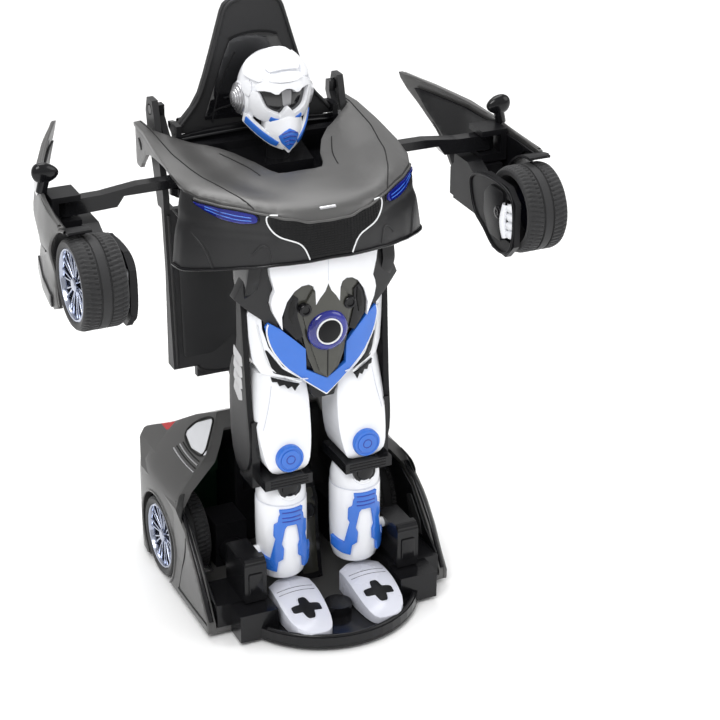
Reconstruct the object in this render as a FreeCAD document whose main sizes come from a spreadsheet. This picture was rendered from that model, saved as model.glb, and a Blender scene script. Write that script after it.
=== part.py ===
import FreeCAD, Part
import math
import os

# Transforming robot car, standing on its rear half as a robot.
# +X is the robot's left, -Y is the way it faces, +Z is up, z = 0 is the floor. Lengths in mm.

DIMS = {
    "tyre_radius": 24.3, "rim_radius": 19.3, "wheel_width": 24.0, "axle_radius": 2.0,
    "rear_wheel_x": 49.5, "rear_wheel_y": 32.0, "rear_wheel_z": 24.3,
    "front_wheel_x": 113.6, "front_wheel_y": -32.0, "front_wheel_z": 220.0,
    "leg_pivot_y": -30.0, "leg_pivot_z": 40.0, "leg_pin_radius": 3.0,
    "chest_pivot_y": -12.0, "chest_pivot_z": 235.0,
    "link_pivot_y": 50.0, "link_pivot_z": 75.0, "link_top_y": 68.0, "link_top_z": 270.0,
    "roof_pivot_y": 62.0, "roof_pivot_z": 262.0, "roof_pin_radius": 1.8,
    "shoulder_x": 60.0, "elbow_x": 123.0, "shoulder_y": 16.0, "arm_pin_radius": 2.5,
    "leg_x": 22.5, "leg_y": -29.4, "knee_z": 82.4, "shin_radius": 14.2, "shin_bottom": 23.8,
    "knee_cap_radius": 7.4, "knee_cap_z": 101.7, "knee_cap_depth": 2.6, "knee_cap_y": -43.0,
    "ring_radius": 10.8, "ring_hole": 7.0, "ring_depth": 4.0, "ring_z": 174.0, "ring_y": -43.5,
    "platform_thick": 4.0, "platform_z": 2.4, "caster_radius": 4.6, "caster_y": -57.0,
    "neck_radius": 6.5, "head_y": 29.0, "ear_radius": 7.5, "screw_radius": 2.2,
    "link_pin_radius": 2.5, "hub_radius": 7.5, "clear_hole": 0.05, "open_pivot_hole": 3.2,
}

PLANE_ROLES = {"XY": "XY_Plane", "XZ": "XZ_Plane", "YZ": "YZ_Plane"}

doc = FreeCAD.newDocument("RobotCar")
sheet = doc.addObject("Spreadsheet::Sheet", "Dims")
for row, (alias, size) in enumerate(DIMS.items(), start=1):
    sheet.set("A%d" % row, alias)
    sheet.set("B%d" % row, str(size))
    sheet.setAlias("B%d" % row, alias)
doc.recompute()

NODES = []
D = DIMS


def bind(obj, prop, size):
    """Set a property from a number, or tie it to a sheet expression given as text."""
    if isinstance(size, str):
        obj.setExpression(prop, size)
    else:
        setattr(obj, prop, size)


def place(obj, x=0.0, y=0.0, z=0.0, axis=None, angle=0.0):
    """Placement with each coordinate a number or a sheet expression."""
    rotation = FreeCAD.Rotation(FreeCAD.Vector(*axis), angle) if axis else FreeCAD.Rotation()
    base = FreeCAD.Vector(*[c if not isinstance(c, str) else 0.0 for c in (x, y, z)])
    obj.Placement = FreeCAD.Placement(base, rotation)
    for name, coordinate in (("x", x), ("y", y), ("z", z)):
        if isinstance(coordinate, str):
            obj.setExpression("Placement.Base." + name, coordinate)
    return obj


def add_wire(sketch, points):
    """Closed polygon in a sketch."""
    corners = [FreeCAD.Vector(u, v, 0) for u, v in points]
    for here, there in zip(corners, corners[1:] + corners[:1]):
        sketch.addGeometry(Part.LineSegment(here, there), False)


def add_circle(sketch, u, v, radius):
    sketch.addGeometry(Part.Circle(FreeCAD.Vector(u, v, 0), FreeCAD.Vector(0, 0, 1), radius), False)


def new_sketch(body, name, plane, offset=0.0):
    """Sketch on one of the body's own origin planes, shifted along the plane's normal."""
    sketch = body.newObject("Sketcher::SketchObject", name)
    role = PLANE_ROLES[plane]
    support = [f for f in body.Origin.OriginFeatures if f.Role == role][0]
    sketch.AttachmentSupport = [(support, "")]
    sketch.MapMode = "FlatFace"
    sketch.AttachmentOffset = FreeCAD.Placement(FreeCAD.Vector(0, 0, offset), FreeCAD.Rotation())
    return sketch


def prism(name, plane, points, low, high, holes=(), circles=()):
    """Body padded from an outline: along Y for XZ outlines, X for YZ ones, Z for XY ones."""
    body = doc.addObject("PartDesign::Body", name)
    offset = -high if plane == "XZ" else low
    sketch = new_sketch(body, name + "_outline", plane, offset)
    add_wire(sketch, points)
    for hole in holes:
        add_wire(sketch, hole)
    for u, v, radius in circles:
        add_circle(sketch, u, v, radius)
    pad = body.newObject("PartDesign::Pad", name + "_pad")
    pad.Profile = sketch
    pad.Length = high - low
    sketch.Visibility = False
    body.Tip = pad
    return body


def turned(name, profile, x=0.0, y=0.0, z=0.0, axis=None, angle=0.0):
    """Body revolved about its own Z axis from (radius, height) corners."""
    body = doc.addObject("PartDesign::Body", name)
    sketch = new_sketch(body, name + "_profile", "XZ")
    add_wire(sketch, profile)
    spin = body.newObject("PartDesign::Revolution", name + "_turn")
    spin.Profile = sketch
    spin.ReferenceAxis = (sketch, ["V_Axis"])
    spin.Angle = 360.0
    body.Tip = spin
    return place(body, x, y, z, axis, angle)


def rod(name, radius, length, x=0.0, y=0.0, z=0.0, along="Z"):
    """Cylinder that starts at the given point and runs along +X, +Y or +Z."""
    shape = doc.addObject("Part::Cylinder", name)
    bind(shape, "Radius", radius)
    bind(shape, "Height", length)
    turns = {"X": ((0, 1, 0), 90.0), "Y": ((1, 0, 0), -90.0), "Z": ((0, 0, 1), 0.0)}
    axis, angle = turns[along]
    return place(shape, x, y, z, axis, angle)


def block(name, low, high):
    """Box between two corners."""
    shape = doc.addObject("Part::Box", name)
    shape.Length = high[0] - low[0]
    shape.Width = high[1] - low[1]
    shape.Height = high[2] - low[2]
    return place(shape, *low)


def ball(name, centre, radii):
    """Ellipsoid with its own three radii along X, Y and Z."""
    shape = doc.addObject("Part::Ellipsoid", name)
    shape.Radius1 = radii[2]
    shape.Radius2 = radii[0]
    shape.Radius3 = radii[1]
    return place(shape, *centre)


def fuse(name, shapes):
    result = doc.addObject("Part::MultiFuse", name)
    result.Shapes = shapes
    return result


def common(name, shapes):
    result = doc.addObject("Part::MultiCommon", name)
    result.Shapes = shapes
    return result


def cut(name, base, tool):
    result = doc.addObject("Part::Cut", name)
    result.Base = base
    result.Tool = tool
    return result


def node(obj, label):
    """Name a finished sub-part and put it on the list that is written out."""
    obj.Label = label
    NODES.append(obj)
    return obj


def mirror_x(points, side):
    """Outline whose first coordinate is X, taken to one side."""
    return [(side * u, v) for u, v in points]


def span(side, near, far):
    """X range of something between two distances from the middle, on one side."""
    return (near, far) if side > 0 else (-far, -near)


def side_prism(name, points, side, near, far):
    low, high = span(side, near, far)
    return prism(name, "YZ", points, low, high)


def side_rod(name, radius, side, near, far, y, z):
    """Rod along X between two distances from the middle."""
    low, high = span(side, near, far)
    return rod(name, radius, high - low, low, y, z, "X")


SIDES = (("left", 1), ("right", -1))


# ---------------------------------------------------------------- base, the car's rear half

def outer_form(name, side_line, front_line, plan_line):
    """Shape with a given side view, front view and plan view."""
    views = [prism(name + "_side", "YZ", side_line, -74, 74),
             prism(name + "_front", "XZ", front_line + mirror_x(front_line, -1)[::-1], -90, 90),
             prism(name + "_plan", "XY", plan_line + mirror_x(plan_line, -1)[::-1], 0, 270)]
    return common(name, views)


def wheel_wells(name, y, z, radius, near, far):
    return [side_rod("%s_%s" % (name, word), radius, side, near, far, y, z) for word, side in SIDES]


def lamp_seats(tag):
    """Solids that both seat the tail lamps and shape them."""
    seats = []
    for word, side in SIDES:
        outline = [(58, 83.5), (74, 78), (82, 70), (79, 66), (70, 72), (57, 78)]
        seats.append(side_prism("%s_tail_%s" % (tag, word), outline, side, 30, 56))
    return seats


SCREW_SPOTS = [(62, -34), (62, 0), (-62, -34), (-62, 0), (40, 74), (-40, 74)]


def base_shell():
    side = [(-46, 3), (-46, 9), (-30, 31), (-10, 50), (3, 57), (11, 78), (15.2, 85), (21, 91.5), (28, 99.5),
            (45, 91), (62, 80), (80, 71), (88, 62), (88, 22), (82, 3)]
    side_in = [(-50, 6), (78, 6), (84, 24), (84, 58), (77, 67), (60, 75.5), (44, 86), (28, 94.5),
               (22, 90), (16, 110), (-50, 110)]
    front = [(73, 0), (73, 57), (66, 67), (50, 81), (35, 101)]
    front_in = [(69, 0), (69, 55), (62, 64), (46, 77), (31, 99)]
    plan = [(73, -50), (73, 60), (67, 78), (52, 90)]
    plan_in = [(69, -50), (69, 58), (63, 75), (49, 85)]
    shell = cut("base_wall", outer_form("base_outer", side, front, plan),
                outer_form("base_inner", side_in, front_in, plan_in))
    tools = wheel_wells("rear_well", D["rear_wheel_y"], D["rear_wheel_z"], 27.2, 47, 75)
    tools.append(block("spine_slot", (-24.6, 14, 66), (24.6, 62, 110)))
    tools.append(block("charge_port", (24, 80, 12), (34, 90, 18)))
    tools.append(block("switch_slot", (-40, 54, 2), (-28, 58, 7)))
    for i, (x, y) in enumerate(SCREW_SPOTS):
        tools.append(rod("screw_seat_%d" % i, "Dims.screw_radius + Dims.clear_hole", 2.4, x, y, 2))
    return node(cut("base_shell_cut", shell, fuse("base_tools", tools + lamp_seats("cut"))), "base_shell")


def tail_lamps():
    form = cut("lamp_skin", outer_form("lamp_outer", [(50, 60), (50, 88.7), (62, 80), (80, 71), (86, 64)],
                                       [(73, 0), (73, 57), (66, 67), (50, 81), (35, 101)],
                                       [(73, -50), (73, 60), (67, 78), (52, 90)]),
               outer_form("lamp_inner", [(40, 50), (40, 86.5), (60, 75.5), (77, 67), (84, 58)],
                          [(69, 0), (69, 55), (62, 64), (46, 77), (31, 99)],
                          [(69, -50), (69, 58), (63, 75), (49, 85)]))
    return node(common("tail_lamps_form", [form, fuse("lamp_seats_own", lamp_seats("own"))]), "tail_lamps")


def arc_outline(radius, centre_y, half_width, back_y):
    """Front edge of the platform as a many-sided arc, closed along the back."""
    start = math.asin(half_width / radius)
    steps = 16
    points = []
    for i in range(steps + 1):
        a = -start + 2 * start * i / steps
        points.append((radius * math.sin(a), centre_y - radius * math.cos(a)))
    return points + [(half_width, back_y), (-half_width, back_y)]


def front_platform():
    low = D["platform_z"]
    top = low + D["platform_thick"]
    parts = [prism("arc_floor", "XY", arc_outline(55.6, -32.4, 48, -47), low, top),
             cut("arc_lip_ring", prism("arc_lip", "XY", arc_outline(55.6, -32.4, 48, -59), low, 9.0),
                 prism("arc_lip_inner", "XY", arc_outline(53.2, -32.4, 45, -58.9), 0, 20))]
    for word, side in SIDES:
        low_x, high_x = span(side, 37.5, 60)
        parts.append(block("toe_block_" + word, (low_x, -60.6, low), (high_x, -46, 19)))
        low_x, high_x = span(side, 37.5, 68)
        parts.append(block("side_step_" + word, (low_x, -46, 6), (high_x, -20, 20)))
    parts.append(rod("caster_dome", 7.8, 6.6, 0, "Dims.caster_y", 5.4))
    hollow = block("caster_room", (-4.6, -63, 0), (4.6, -51, 10.2))
    return node(cut("front_platform_cut", fuse("front_platform_body", parts), hollow), "front_platform")


def caster():
    return node(rod("caster_disc", "Dims.caster_radius", 7.0, -3.5, "Dims.caster_y", 4.7, "X"), "caster_roller")


def ankle_clamp(word, side):
    outline = [(-50, 20), (-50, 43), (-47, 46.5), (-43, 46.5), (-40, 44), (-22, 44), (-22, 20)]
    body = side_prism("clamp_block_" + word, outline, side, 40, 53)
    hole = side_rod("clamp_bore_" + word, "Dims.leg_pin_radius", side, 30, 49, "Dims.leg_pivot_y", "Dims.leg_pivot_z")
    return cut("clamp_cut_" + word, body, hole)


def ankle_pin(word, side):
    return side_rod("ankle_rod_" + word, "Dims.leg_pin_radius", side, 12, 49, "Dims.leg_pivot_y", "Dims.leg_pivot_z")


def foot(word, side):
    profile = [(-34, 6.5), (-34, 20.8), (-46, 21.4), (-53, 20.6), (-62, 18.2), (-74, 14.4), (-82, 10.6), (-84, 6.5)]
    plan = [(9, -34), (8.5, -60), (10, -76), (13, -80.4), (26, -78), (33, -70), (36, -58), (35, -34)]
    form = common("foot_form_" + word, [side_prism("foot_side_" + word, profile, side, 5, 40),
                                        prism("foot_plan_" + word, "XY", mirror_x(plan, side), 0, 30)])
    cx, cy = side * 22, -62.0
    cross = fuse("foot_cross_" + word, [block("cross_long_" + word, (cx - 2.6, cy - 8, 9), (cx + 2.6, cy + 8, 30)),
                                        block("cross_wide_" + word, (cx - 8, cy - 2.6, 9), (cx + 8, cy + 2.6, 30))])
    return cut("foot_cut_" + word, form, cross)


def centre_column():
    foot_part = [(-20, 6.4), (-15, 30), (-13, 55), (-6, 64), (8, 64), (12, 50), (36, 46), (36, 6.4)]
    lug = [(36, 6.4), (36, 70), (44, 82), (56, 82), (62, 72), (66, 6.4)]
    body = fuse("column_body", [prism("column_web", "YZ", foot_part, -7, 7),
                                prism("column_lug_a", "YZ", lug, 19, 24),
                                prism("column_lug_b", "YZ", lug, -24, -19),
                                block("column_foot", (-24, 36, 6.4), (24, 66, 40))])
    pin = rod("link_rod", "Dims.link_pin_radius", 48.0, -24, "Dims.link_pivot_y", "Dims.link_pivot_z", "X")
    return node(fuse("centre_column_all", [body, pin]), "centre_column")


def drive_unit(word, side):
    low_x, high_x = span(side, 26, 45)
    case = block("gear_case_" + word, (low_x, 14, 6.4), (high_x, 35.8, 34))
    motor = rod("motor_can_" + word, 8.0, 16.0, (low_x + high_x) / 2, -2, 16, "Y")
    hole = rod("axle_bore_" + word, "Dims.axle_radius + Dims.clear_hole", 14.0, 32 if side > 0 else -46,
               "Dims.rear_wheel_y", "Dims.rear_wheel_z", "X")
    return cut("drive_cut_" + word, fuse("drive_body_" + word, [case, motor]), hole)


def base_inner_parts():
    node(block("battery_block", (-17, 68.2, 7.5), (17, 78, 52)), "battery_pack")
    node(block("board_block", (-48, 70.5, 8), (-20, 72, 50)), "control_board")
    speaker_ring = [(10, 0), (10, 3), (7.5, 5), (5, 8), (0, 8), (0, 0)]
    node(turned("speaker_body", speaker_ring, 36, 55, 6.2), "speaker")


def power_switch():
    knob = fuse("switch_knob", [block("switch_slide", (-37, 54.4, 1.6), (-31, 57.6, 6.5)),
                                block("switch_head", (-38.5, 52.6, 6.4), (-29.5, 59.4, 8.4))])
    return node(knob, "power_switch")


def base_screws():
    heads = [rod("base_screw_%d" % i, "Dims.screw_radius", 1.3, x, y, 3.1) for i, (x, y) in enumerate(SCREW_SPOTS)]
    return node(fuse("base_screw_heads", heads), "base_screws")


# ---------------------------------------------------------------- wheels

def spoke_windows(count, inner, outer, share):
    """Openings between spokes, as corner lists round the hub."""
    windows = []
    step = 2 * math.pi / count
    for i in range(count):
        a = i * step + step * (0.5 - share / 2)
        b = a + step * share
        corners = [(inner, a + step * share * 0.25), (outer, a), (outer, b), (inner, b - step * share * 0.25)]
        windows.append([(r * math.cos(t), r * math.sin(t)) for r, t in corners])
    return windows


def rim(tag, x, y, z, side, shaft):
    """Rim with its spokes at the outer face, a barrel behind them and a stub axle."""
    body = doc.addObject("PartDesign::Body", tag + "_rim_body")
    width = D["wheel_width"]
    face = width - 4.0 if side > 0 else 0.5
    disc = new_sketch(body, tag + "_spokes", "YZ", face)
    add_circle(disc, 0, 0, D["rim_radius"])
    for window in spoke_windows(10, 6.0, 15.6, 0.62):
        add_wire(disc, window)
    plate = body.newObject("PartDesign::Pad", tag + "_spoke_pad")
    plate.Profile = disc
    plate.Length = 3.5
    ring = new_sketch(body, tag + "_barrel", "YZ", 0.5)
    add_circle(ring, 0, 0, D["rim_radius"])
    add_circle(ring, 0, 0, D["rim_radius"] - 2.2)
    wall = body.newObject("PartDesign::Pad", tag + "_barrel_pad")
    wall.Profile = ring
    wall.Length = width - 1.0
    low, high = shaft
    hub = new_sketch(body, tag + "_axle", "YZ", low)
    add_circle(hub, 0, 0, D["axle_radius"])
    stub = body.newObject("PartDesign::Pad", tag + "_axle_pad")
    stub.Profile = hub
    stub.Length = high - low
    body.Tip = stub
    place(body, x, y, z)
    return node(body, tag + "_rim")


def tyre(tag, x, y, z):
    """Tyre with rounded shoulders and two running grooves, turned about X."""
    w, r, bead = D["wheel_width"], D["tyre_radius"], D["rim_radius"] + D["clear_hole"]
    profile = [(bead, 0.6), (r - 2.6, 0), (r - 0.8, 1.4), (r, 3.6), (r, w * 0.36), (r - 0.8, w * 0.37),
               (r - 0.8, w * 0.41), (r, w * 0.42), (r, w * 0.58), (r - 0.8, w * 0.59), (r - 0.8, w * 0.63),
               (r, w * 0.64), (r, w - 3.6), (r - 0.8, w - 1.4), (r - 2.6, w), (bead, w - 0.6)]
    return node(turned(tag + "_tyre_body", profile, x, y, z, (0, 1, 0), 90), tag + "_tyre")


def wheels():
    for word, side in SIDES:
        x = D["rear_wheel_x"] if side > 0 else -D["rear_wheel_x"] - D["wheel_width"]
        place_args = ("rear_wheel_" + word, x, "Dims.rear_wheel_y", "Dims.rear_wheel_z")
        shaft = (-16.0, 22.0) if side > 0 else (2.0, 40.0)
        rim(*place_args, side, shaft)
        tyre(*place_args)
        x = D["front_wheel_x"] if side > 0 else -D["front_wheel_x"] - D["wheel_width"]
        place_args = ("front_wheel_" + word, x, "Dims.front_wheel_y", "Dims.front_wheel_z")
        shaft = (-3.0, 22.0) if side > 0 else (2.0, 27.0)
        rim(*place_args, side, shaft)
        tyre(*place_args)


# ---------------------------------------------------------------- legs and torso

def shin(word, side):
    r, low = D["shin_radius"], D["shin_bottom"]
    profile = [(0, low), (10.5, low), (12.6, low + 3), (r, low + 8), (r, 73), (r - 1, 79), (12, 83), (0, 83)]
    can = turned("shin_can_" + word, profile, side * D["leg_x"], "Dims.leg_y", 0)
    low_x, high_x = span(side, 8, 40)
    bore = rod("shin_bore_" + word, "Dims.leg_pin_radius + Dims.clear_hole", high_x - low_x, low_x,
               "Dims.leg_pivot_y", "Dims.leg_pivot_z", "X")
    notch = rod("knee_notch_" + word, 6.6, 40.0, side * D["leg_x"], -50, "Dims.knee_z", "Y")
    return cut("shin_cut_" + word, can, fuse("shin_tools_" + word, [bore, notch]))


def shin_armour(word, side):
    """Blue A-shaped plate that hugs the front of the shin."""
    cx = D["leg_x"]
    outline = [(-6, 74), (6, 74), (6.5, 68), (9, 62), (8.5, 54), (12, 36), (8, 33), (6, 44), (3, 58),
               (2.2, 62), (-2.2, 62), (-4, 54), (-5, 44), (-7, 30), (-12, 32), (-11, 38), (-9, 46), (-9, 56), (-7, 64)]
    placed = [(side * (cx + u), v) for u, v in outline]
    r = D["shin_radius"]
    sleeve = turned("armour_sleeve_" + word, [(r, 26), (r + 1.1, 26), (r + 1.1, 78), (r, 78)],
                    side * cx, "Dims.leg_y", 0)
    front = prism("armour_front_" + word, "XZ", placed, -60, -30)
    taper = turned("armour_taper_" + word, [(0, 20), (10.5, 24), (12.7, 27), (r, 32), (r, 74), (0, 84)],
                   side * cx, "Dims.leg_y", 0)
    return cut("armour_cut_" + word, common("armour_form_" + word, [sleeve, front]), taper)


def knee_bracket(word, side):
    """Black barrel in the shin's notch and the bar that wraps under the thigh."""
    cx = side * D["leg_x"]
    barrel = rod("knee_barrel_" + word, 6.5, 30.0, cx, -43, "Dims.knee_z", "Y")
    low_x, high_x = span(side, 10, 38)
    bar = block("knee_bar_" + word, (low_x, -45, 84.6), (high_x, -14, 90.7))
    low_x, high_x = span(side, 36.5, 41)
    strap = block("knee_strap_" + word, (low_x, -34, 82), (high_x, -16, 122))
    shape = fuse("knee_bracket_body_" + word, [barrel, bar, strap])
    can = turned("knee_can_tool_" + word, [(0, 60), (15.2, 60), (15.2, 78), (13, 83), (13, 84.5), (0, 84.5)],
                 cx, "Dims.leg_y", 0)
    keep = rod("knee_barrel_keep_" + word, 6.5, 30.0, cx, -43, "Dims.knee_z", "Y")
    return fuse("knee_bracket_" + word, [cut("knee_trim_" + word, shape, can), keep])


def thigh(word, side):
    front = [(14, 90.9), (31, 90.9), (35.5, 96), (37.5, 107), (41, 126), (42, 146), (36, 152), (14.5, 152), (10.4, 132),
             (9, 112), (10.5, 96)]
    profile = [(-40, 90.9), (-43, 96), (-43, 140), (-40, 152), (-18, 152), (-15, 146), (-15, 96), (-18, 90.9)]
    form = common("thigh_form_" + word, [prism("thigh_front_" + word, "XZ", mirror_x(front, side), -50, -10),
                                         side_prism("thigh_side_" + word, profile, side, 5, 45)])
    strap_room = side_prism("thigh_room_" + word, [(-34, 80), (-34, 122), (-16, 122), (-16, 80)], side, 36.5, 46)
    return cut("thigh_cut_" + word, form, strap_room)


def knee_cap(word, side):
    return rod("knee_disc_" + word, "Dims.knee_cap_radius", "Dims.knee_cap_depth",
               side * 23.0, -45.6, "Dims.knee_cap_z", "Y")


def hip_plate(word, side):
    outline = [(14.5, 152.2), (36, 152.2), (43, 158), (46, 184), (44, 190), (36, 190), (31, 168), (14.5, 156)]
    return prism("hip_plate_body_" + word, "XZ", mirror_x(outline, side), -41, -16)


def torso_core():
    """Black torso block with the hub that carries the chest."""
    front = [(-6, 132), (6, 132), (13, 152.4), (13.5, 155.6), (30.6, 168), (35, 190.2), (38, 206), (34, 214),
             (28, 226), (-28, 226), (-34, 214), (-38, 206), (-35, 190.2), (-30.6, 168), (-13.5, 155.6), (-13, 152.4)]
    profile = [(-34, 132), (-38.5, 150), (-38.5, 208), (-34, 217), (-22, 226), (-15, 226), (-15, 132)]
    body = common("torso_form", [prism("torso_front", "XZ", front, -60, 0),
                                 prism("torso_side", "YZ", profile, -60, 60)])
    hub = rod("torso_hub", "Dims.hub_radius", 56.0, -28, "Dims.chest_pivot_y", "Dims.chest_pivot_z", "X")
    neck = prism("torso_neck", "YZ", [(-19.4, 222), (-19.4, 234), (-5, 234), (-15, 222)], -28, 28)
    bore = rod("torso_bore", "Dims.link_pin_radius + Dims.clear_hole", 60.0, -30,
               "Dims.chest_pivot_y", "Dims.chest_pivot_z", "X")
    return node(cut("torso_core_cut", fuse("torso_all", [body, hub, neck]), bore), "torso_core")


def abdomen():
    """Dark faceted belly panel standing on the torso's front."""
    outline = [(-3.5, 145.4), (0, 142.4), (3.5, 145.4), (11, 160), (17, 182), (27, 196), (26, 207), (-26, 207),
               (-27, 196), (-17, 182), (-11, 160)]
    return node(prism("abdomen_body", "XZ", outline, -41.2, -38.5, circles=[(0, 174, 6.9)]), "abdomen")


def belly_light():
    ring = turned("ring_body", [(7.0, 0), (10.8, 0), (10.8, 2.4), (9.4, 4.0), (7.6, 4.0), (7.0, 3.2)],
                  0, -41.2, "Dims.ring_z", (1, 0, 0), 90)
    node(ring, "belly_ring")
    node(rod("disc_body", 6.8, 6.0, 0, -44.6, "Dims.ring_z", "Y"), "belly_disc")


def belt():
    """Blue V that runs from the hips to a point between the legs."""
    outline = [(0, 137), (9, 145), (20, 154.5), (28, 166), (33, 184), (28.4, 178.5), (22, 169), (13, 160),
               (8, 148), (0, 141)]
    both = outline + mirror_x(outline, -1)[::-1][1:-1]
    panel = prism("belt_panel", "XZ", both, -44.4, -41.3)
    return node(panel, "belt")


def breastplate():
    """White plate with two long outer prongs and two short inner ones."""
    half = [(0, 214), (33, 214), (32, 203), (30, 198), (30.5, 190), (27, 177), (24, 184), (23.8, 192), (20, 201),
            (16, 205.5), (13, 203), (12.5, 196.5), (8, 197), (3.5, 201), (0, 206)]
    outline = half + mirror_x(half, -1)[::-1][1:-1]
    return node(prism("breastplate_body", "XZ", outline, -45.0, -41.4), "breastplate")


def torso_side(word, side):
    outline = [(-36, 192), (-37, 204), (-30, 211), (-20, 216), (-16, 212), (-16, 190.4), (-30, 190.4)]
    return side_prism("torso_side_body_" + word, outline, side, 38.5, 46)


def torso_screws():
    posts = [rod("torso_post_%d" % i, "Dims.screw_radius", 2.6, x, -44.0, 190.5, "Y") for i, x in enumerate((-15, 15))]
    return node(fuse("torso_posts", posts), "torso_screws")


# ---------------------------------------------------------------- rear link

def rear_link():
    """Plate behind the torso, side arms that reach up to the chest, and the spine down to the base."""
    plate = [(-57, 217), (57, 217), (54, 119), (40, 119), (40, 112), (20, 112), (17, 100), (-17, 100), (-20, 112),
             (-40, 112), (-40, 119), (-54, 119)]
    arm = [(50.5, 217), (50.5, 225), (60, 262), (61.5, 268), (64, 276), (72, 276), (74.5, 268), (73, 260), (60, 217)]
    parts = [prism("back_plate", "XZ", plate, 50.5, 54.5)]
    holes = []
    for word, side in SIDES:
        parts.append(side_prism("back_arm_" + word, arm, side, 53.4, 57))
        parts.append(side_prism("back_rib_" + word, [(50.5, 119), (50.5, 217), (60, 217), (60, 119)], side, 50, 53.9))
        holes.append(side_rod("back_bore_" + word, "Dims.open_pivot_hole", side, 52, 59,
                              "Dims.link_top_y", "Dims.link_top_z"))
    parts.append(spine_arm())
    return node(cut("rear_link_cut", fuse("back_body", parts), fuse("back_bores", holes)), "rear_link")


def spine_arm():
    outline = [(46.2, 101), (46.2, 84), (44.5, 75), (47, 70.5), (53, 70.5), (56.5, 75), (60, 84), (60, 101)]
    body = prism("spine_body", "YZ", outline, -16, 16)
    hole = rod("spine_bore", "Dims.link_pin_radius + Dims.clear_hole", 40.0, -20,
               "Dims.link_pivot_y", "Dims.link_pivot_z", "X")
    return cut("spine_arm_cut", body, hole)


# ---------------------------------------------------------------- chest, the car's front half

HOOD_TOP = [(-46.5, 240.5), (-42, 243.5), (-36, 245.5), (-20, 249), (-8, 251), (4, 252.6), (9, 253), (30, 256),
            (60, 260), (78, 259.6)]


def hood_plan():
    return [(12, -46.2), (24, -42.5), (37, -35.5), (52, -24), (61, -14), (65, -4), (66, 12), (65.5, 40),
            (64, 60), (63, 78)]


def hood():
    """Top skin with the notch round the neck and the two rear tips."""
    under = [(y, z - 2.3) for y, z in HOOD_TOP]
    side = prism("hood_side", "YZ", HOOD_TOP + under[::-1], -70, 70)
    edge = hood_plan()
    plan = prism("hood_plan", "XY", edge + mirror_x(edge, -1)[::-1], 200, 270)
    skin = common("hood_skin", [side, plan])
    notch_line = [(11, -8), (17, 4), (26, 24), (40, 44), (57.8, 57), (57.8, 80)]
    notch = prism("hood_notch", "XY", notch_line + mirror_x(notch_line, -1)[::-1], 200, 280)
    parts = [cut("hood_top", skin, notch)]
    for word, side_sign in SIDES:
        tip = [(58, 257.6), (58, 248), (66, 240), (68, 236), (76.5, 236), (77.5, 257.4)]
        parts.append(side_prism("hood_tip_" + word, tip, side_sign, 60, 62.8))
    return node(fuse("hood_body", parts), "hood")


def bumper():
    """Front face below the hood, curved in plan and sloping back to a wider lower edge."""
    outer = [(12, -46.8), (24, -44.6), (36, -41), (52, -30), (64, -18), (70.5, -11), (71, 2), (66, 6)]
    inner = [(10, -43.2), (22, -41), (34, -37.4), (50, -26.6), (60, -15.6), (66, -9), (66.5, 2), (66, 5.6)]
    outline = outer + inner[::-1]
    ring = prism("bumper_ring", "XY", outline + mirror_x(outline, -1)[::-1], 206, 252)
    lean = [(-49, 218), (-46, 217.4), (-30, 213), (-11, 208.6), (8, 208), (8, 248.4), (-8, 248.4), (-20, 246.4),
            (-36, 242.9), (-42, 240.9), (-46.8, 238)]
    bridge = prism("bumper_bridge", "XY", [(-14, -46.8), (14, -46.8), (14, -43.2), (-14, -43.2)], 206, 252)
    form = common("bumper_form", [fuse("bumper_all", [ring, bridge]), prism("bumper_lean", "YZ", lean, -74, 74)])
    taper = [(71, 205), (71, 215), (66.5, 249), (-66.5, 249), (-71, 215), (-71, 205)]
    shape = common("bumper_tapered", [form, prism("bumper_taper", "XZ", taper, -60, 20)])
    tools = [lamp_tool("bumper", word, side) for word, side in SIDES] + [grille_tool("bumper")]
    return node(cut("bumper_cut", shape, fuse("bumper_tools", tools)), "bumper")


def lamp_tool(tag, word, side):
    outline = [(35.5, 238.6), (36.5, 241.9), (50, 243.2), (62, 245.5), (66, 246), (62, 241), (52, 237), (42, 236.6)]
    return prism("%s_lamp_%s" % (tag, word), "XZ", mirror_x(outline, side), -60, -8)


def grille_tool(tag):
    half = [(0, 238.2), (26.6, 238.2), (27.5, 234), (22, 229), (13.5, 225), (11.5, 219.5), (0, 219.5)]
    return prism(tag + "_grille", "XZ", half + mirror_x(half, -1)[::-1][1:-1], -60, -30)


def bumper_layer(tag, back, front):
    """Thin curved layer parallel to the bumper's face, between two depths behind it."""
    line = [(14, -46.8), (24, -44.6), (36, -41), (52, -30), (64, -18), (70.5, -11)]
    outer = [(u, v + front) for u, v in line]
    inner = [(u, v + back) for u, v in line]
    outline = outer + mirror_x(inner, 1)[::-1]
    wing = prism(tag + "_wings", "XY", outline + mirror_x(outline, -1)[::-1], 206, 252)
    bridge = prism(tag + "_bridge", "XY", [(-14, -46.8 + front), (14, -46.8 + front), (14, -46.8 + back),
                                           (-14, -46.8 + back)], 206, 252)
    return fuse(tag + "_layer", [wing, bridge])


def headlamp(word, side):
    return common("lamp_form_" + word, [bumper_layer("lamp_" + word, 3.2, 0.2), lamp_tool("own", word, side)])


def grille():
    layer = bumper_layer("mesh", 3.0, 1.2)
    return node(common("grille_form", [layer, grille_tool("own")]), "grille")


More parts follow.
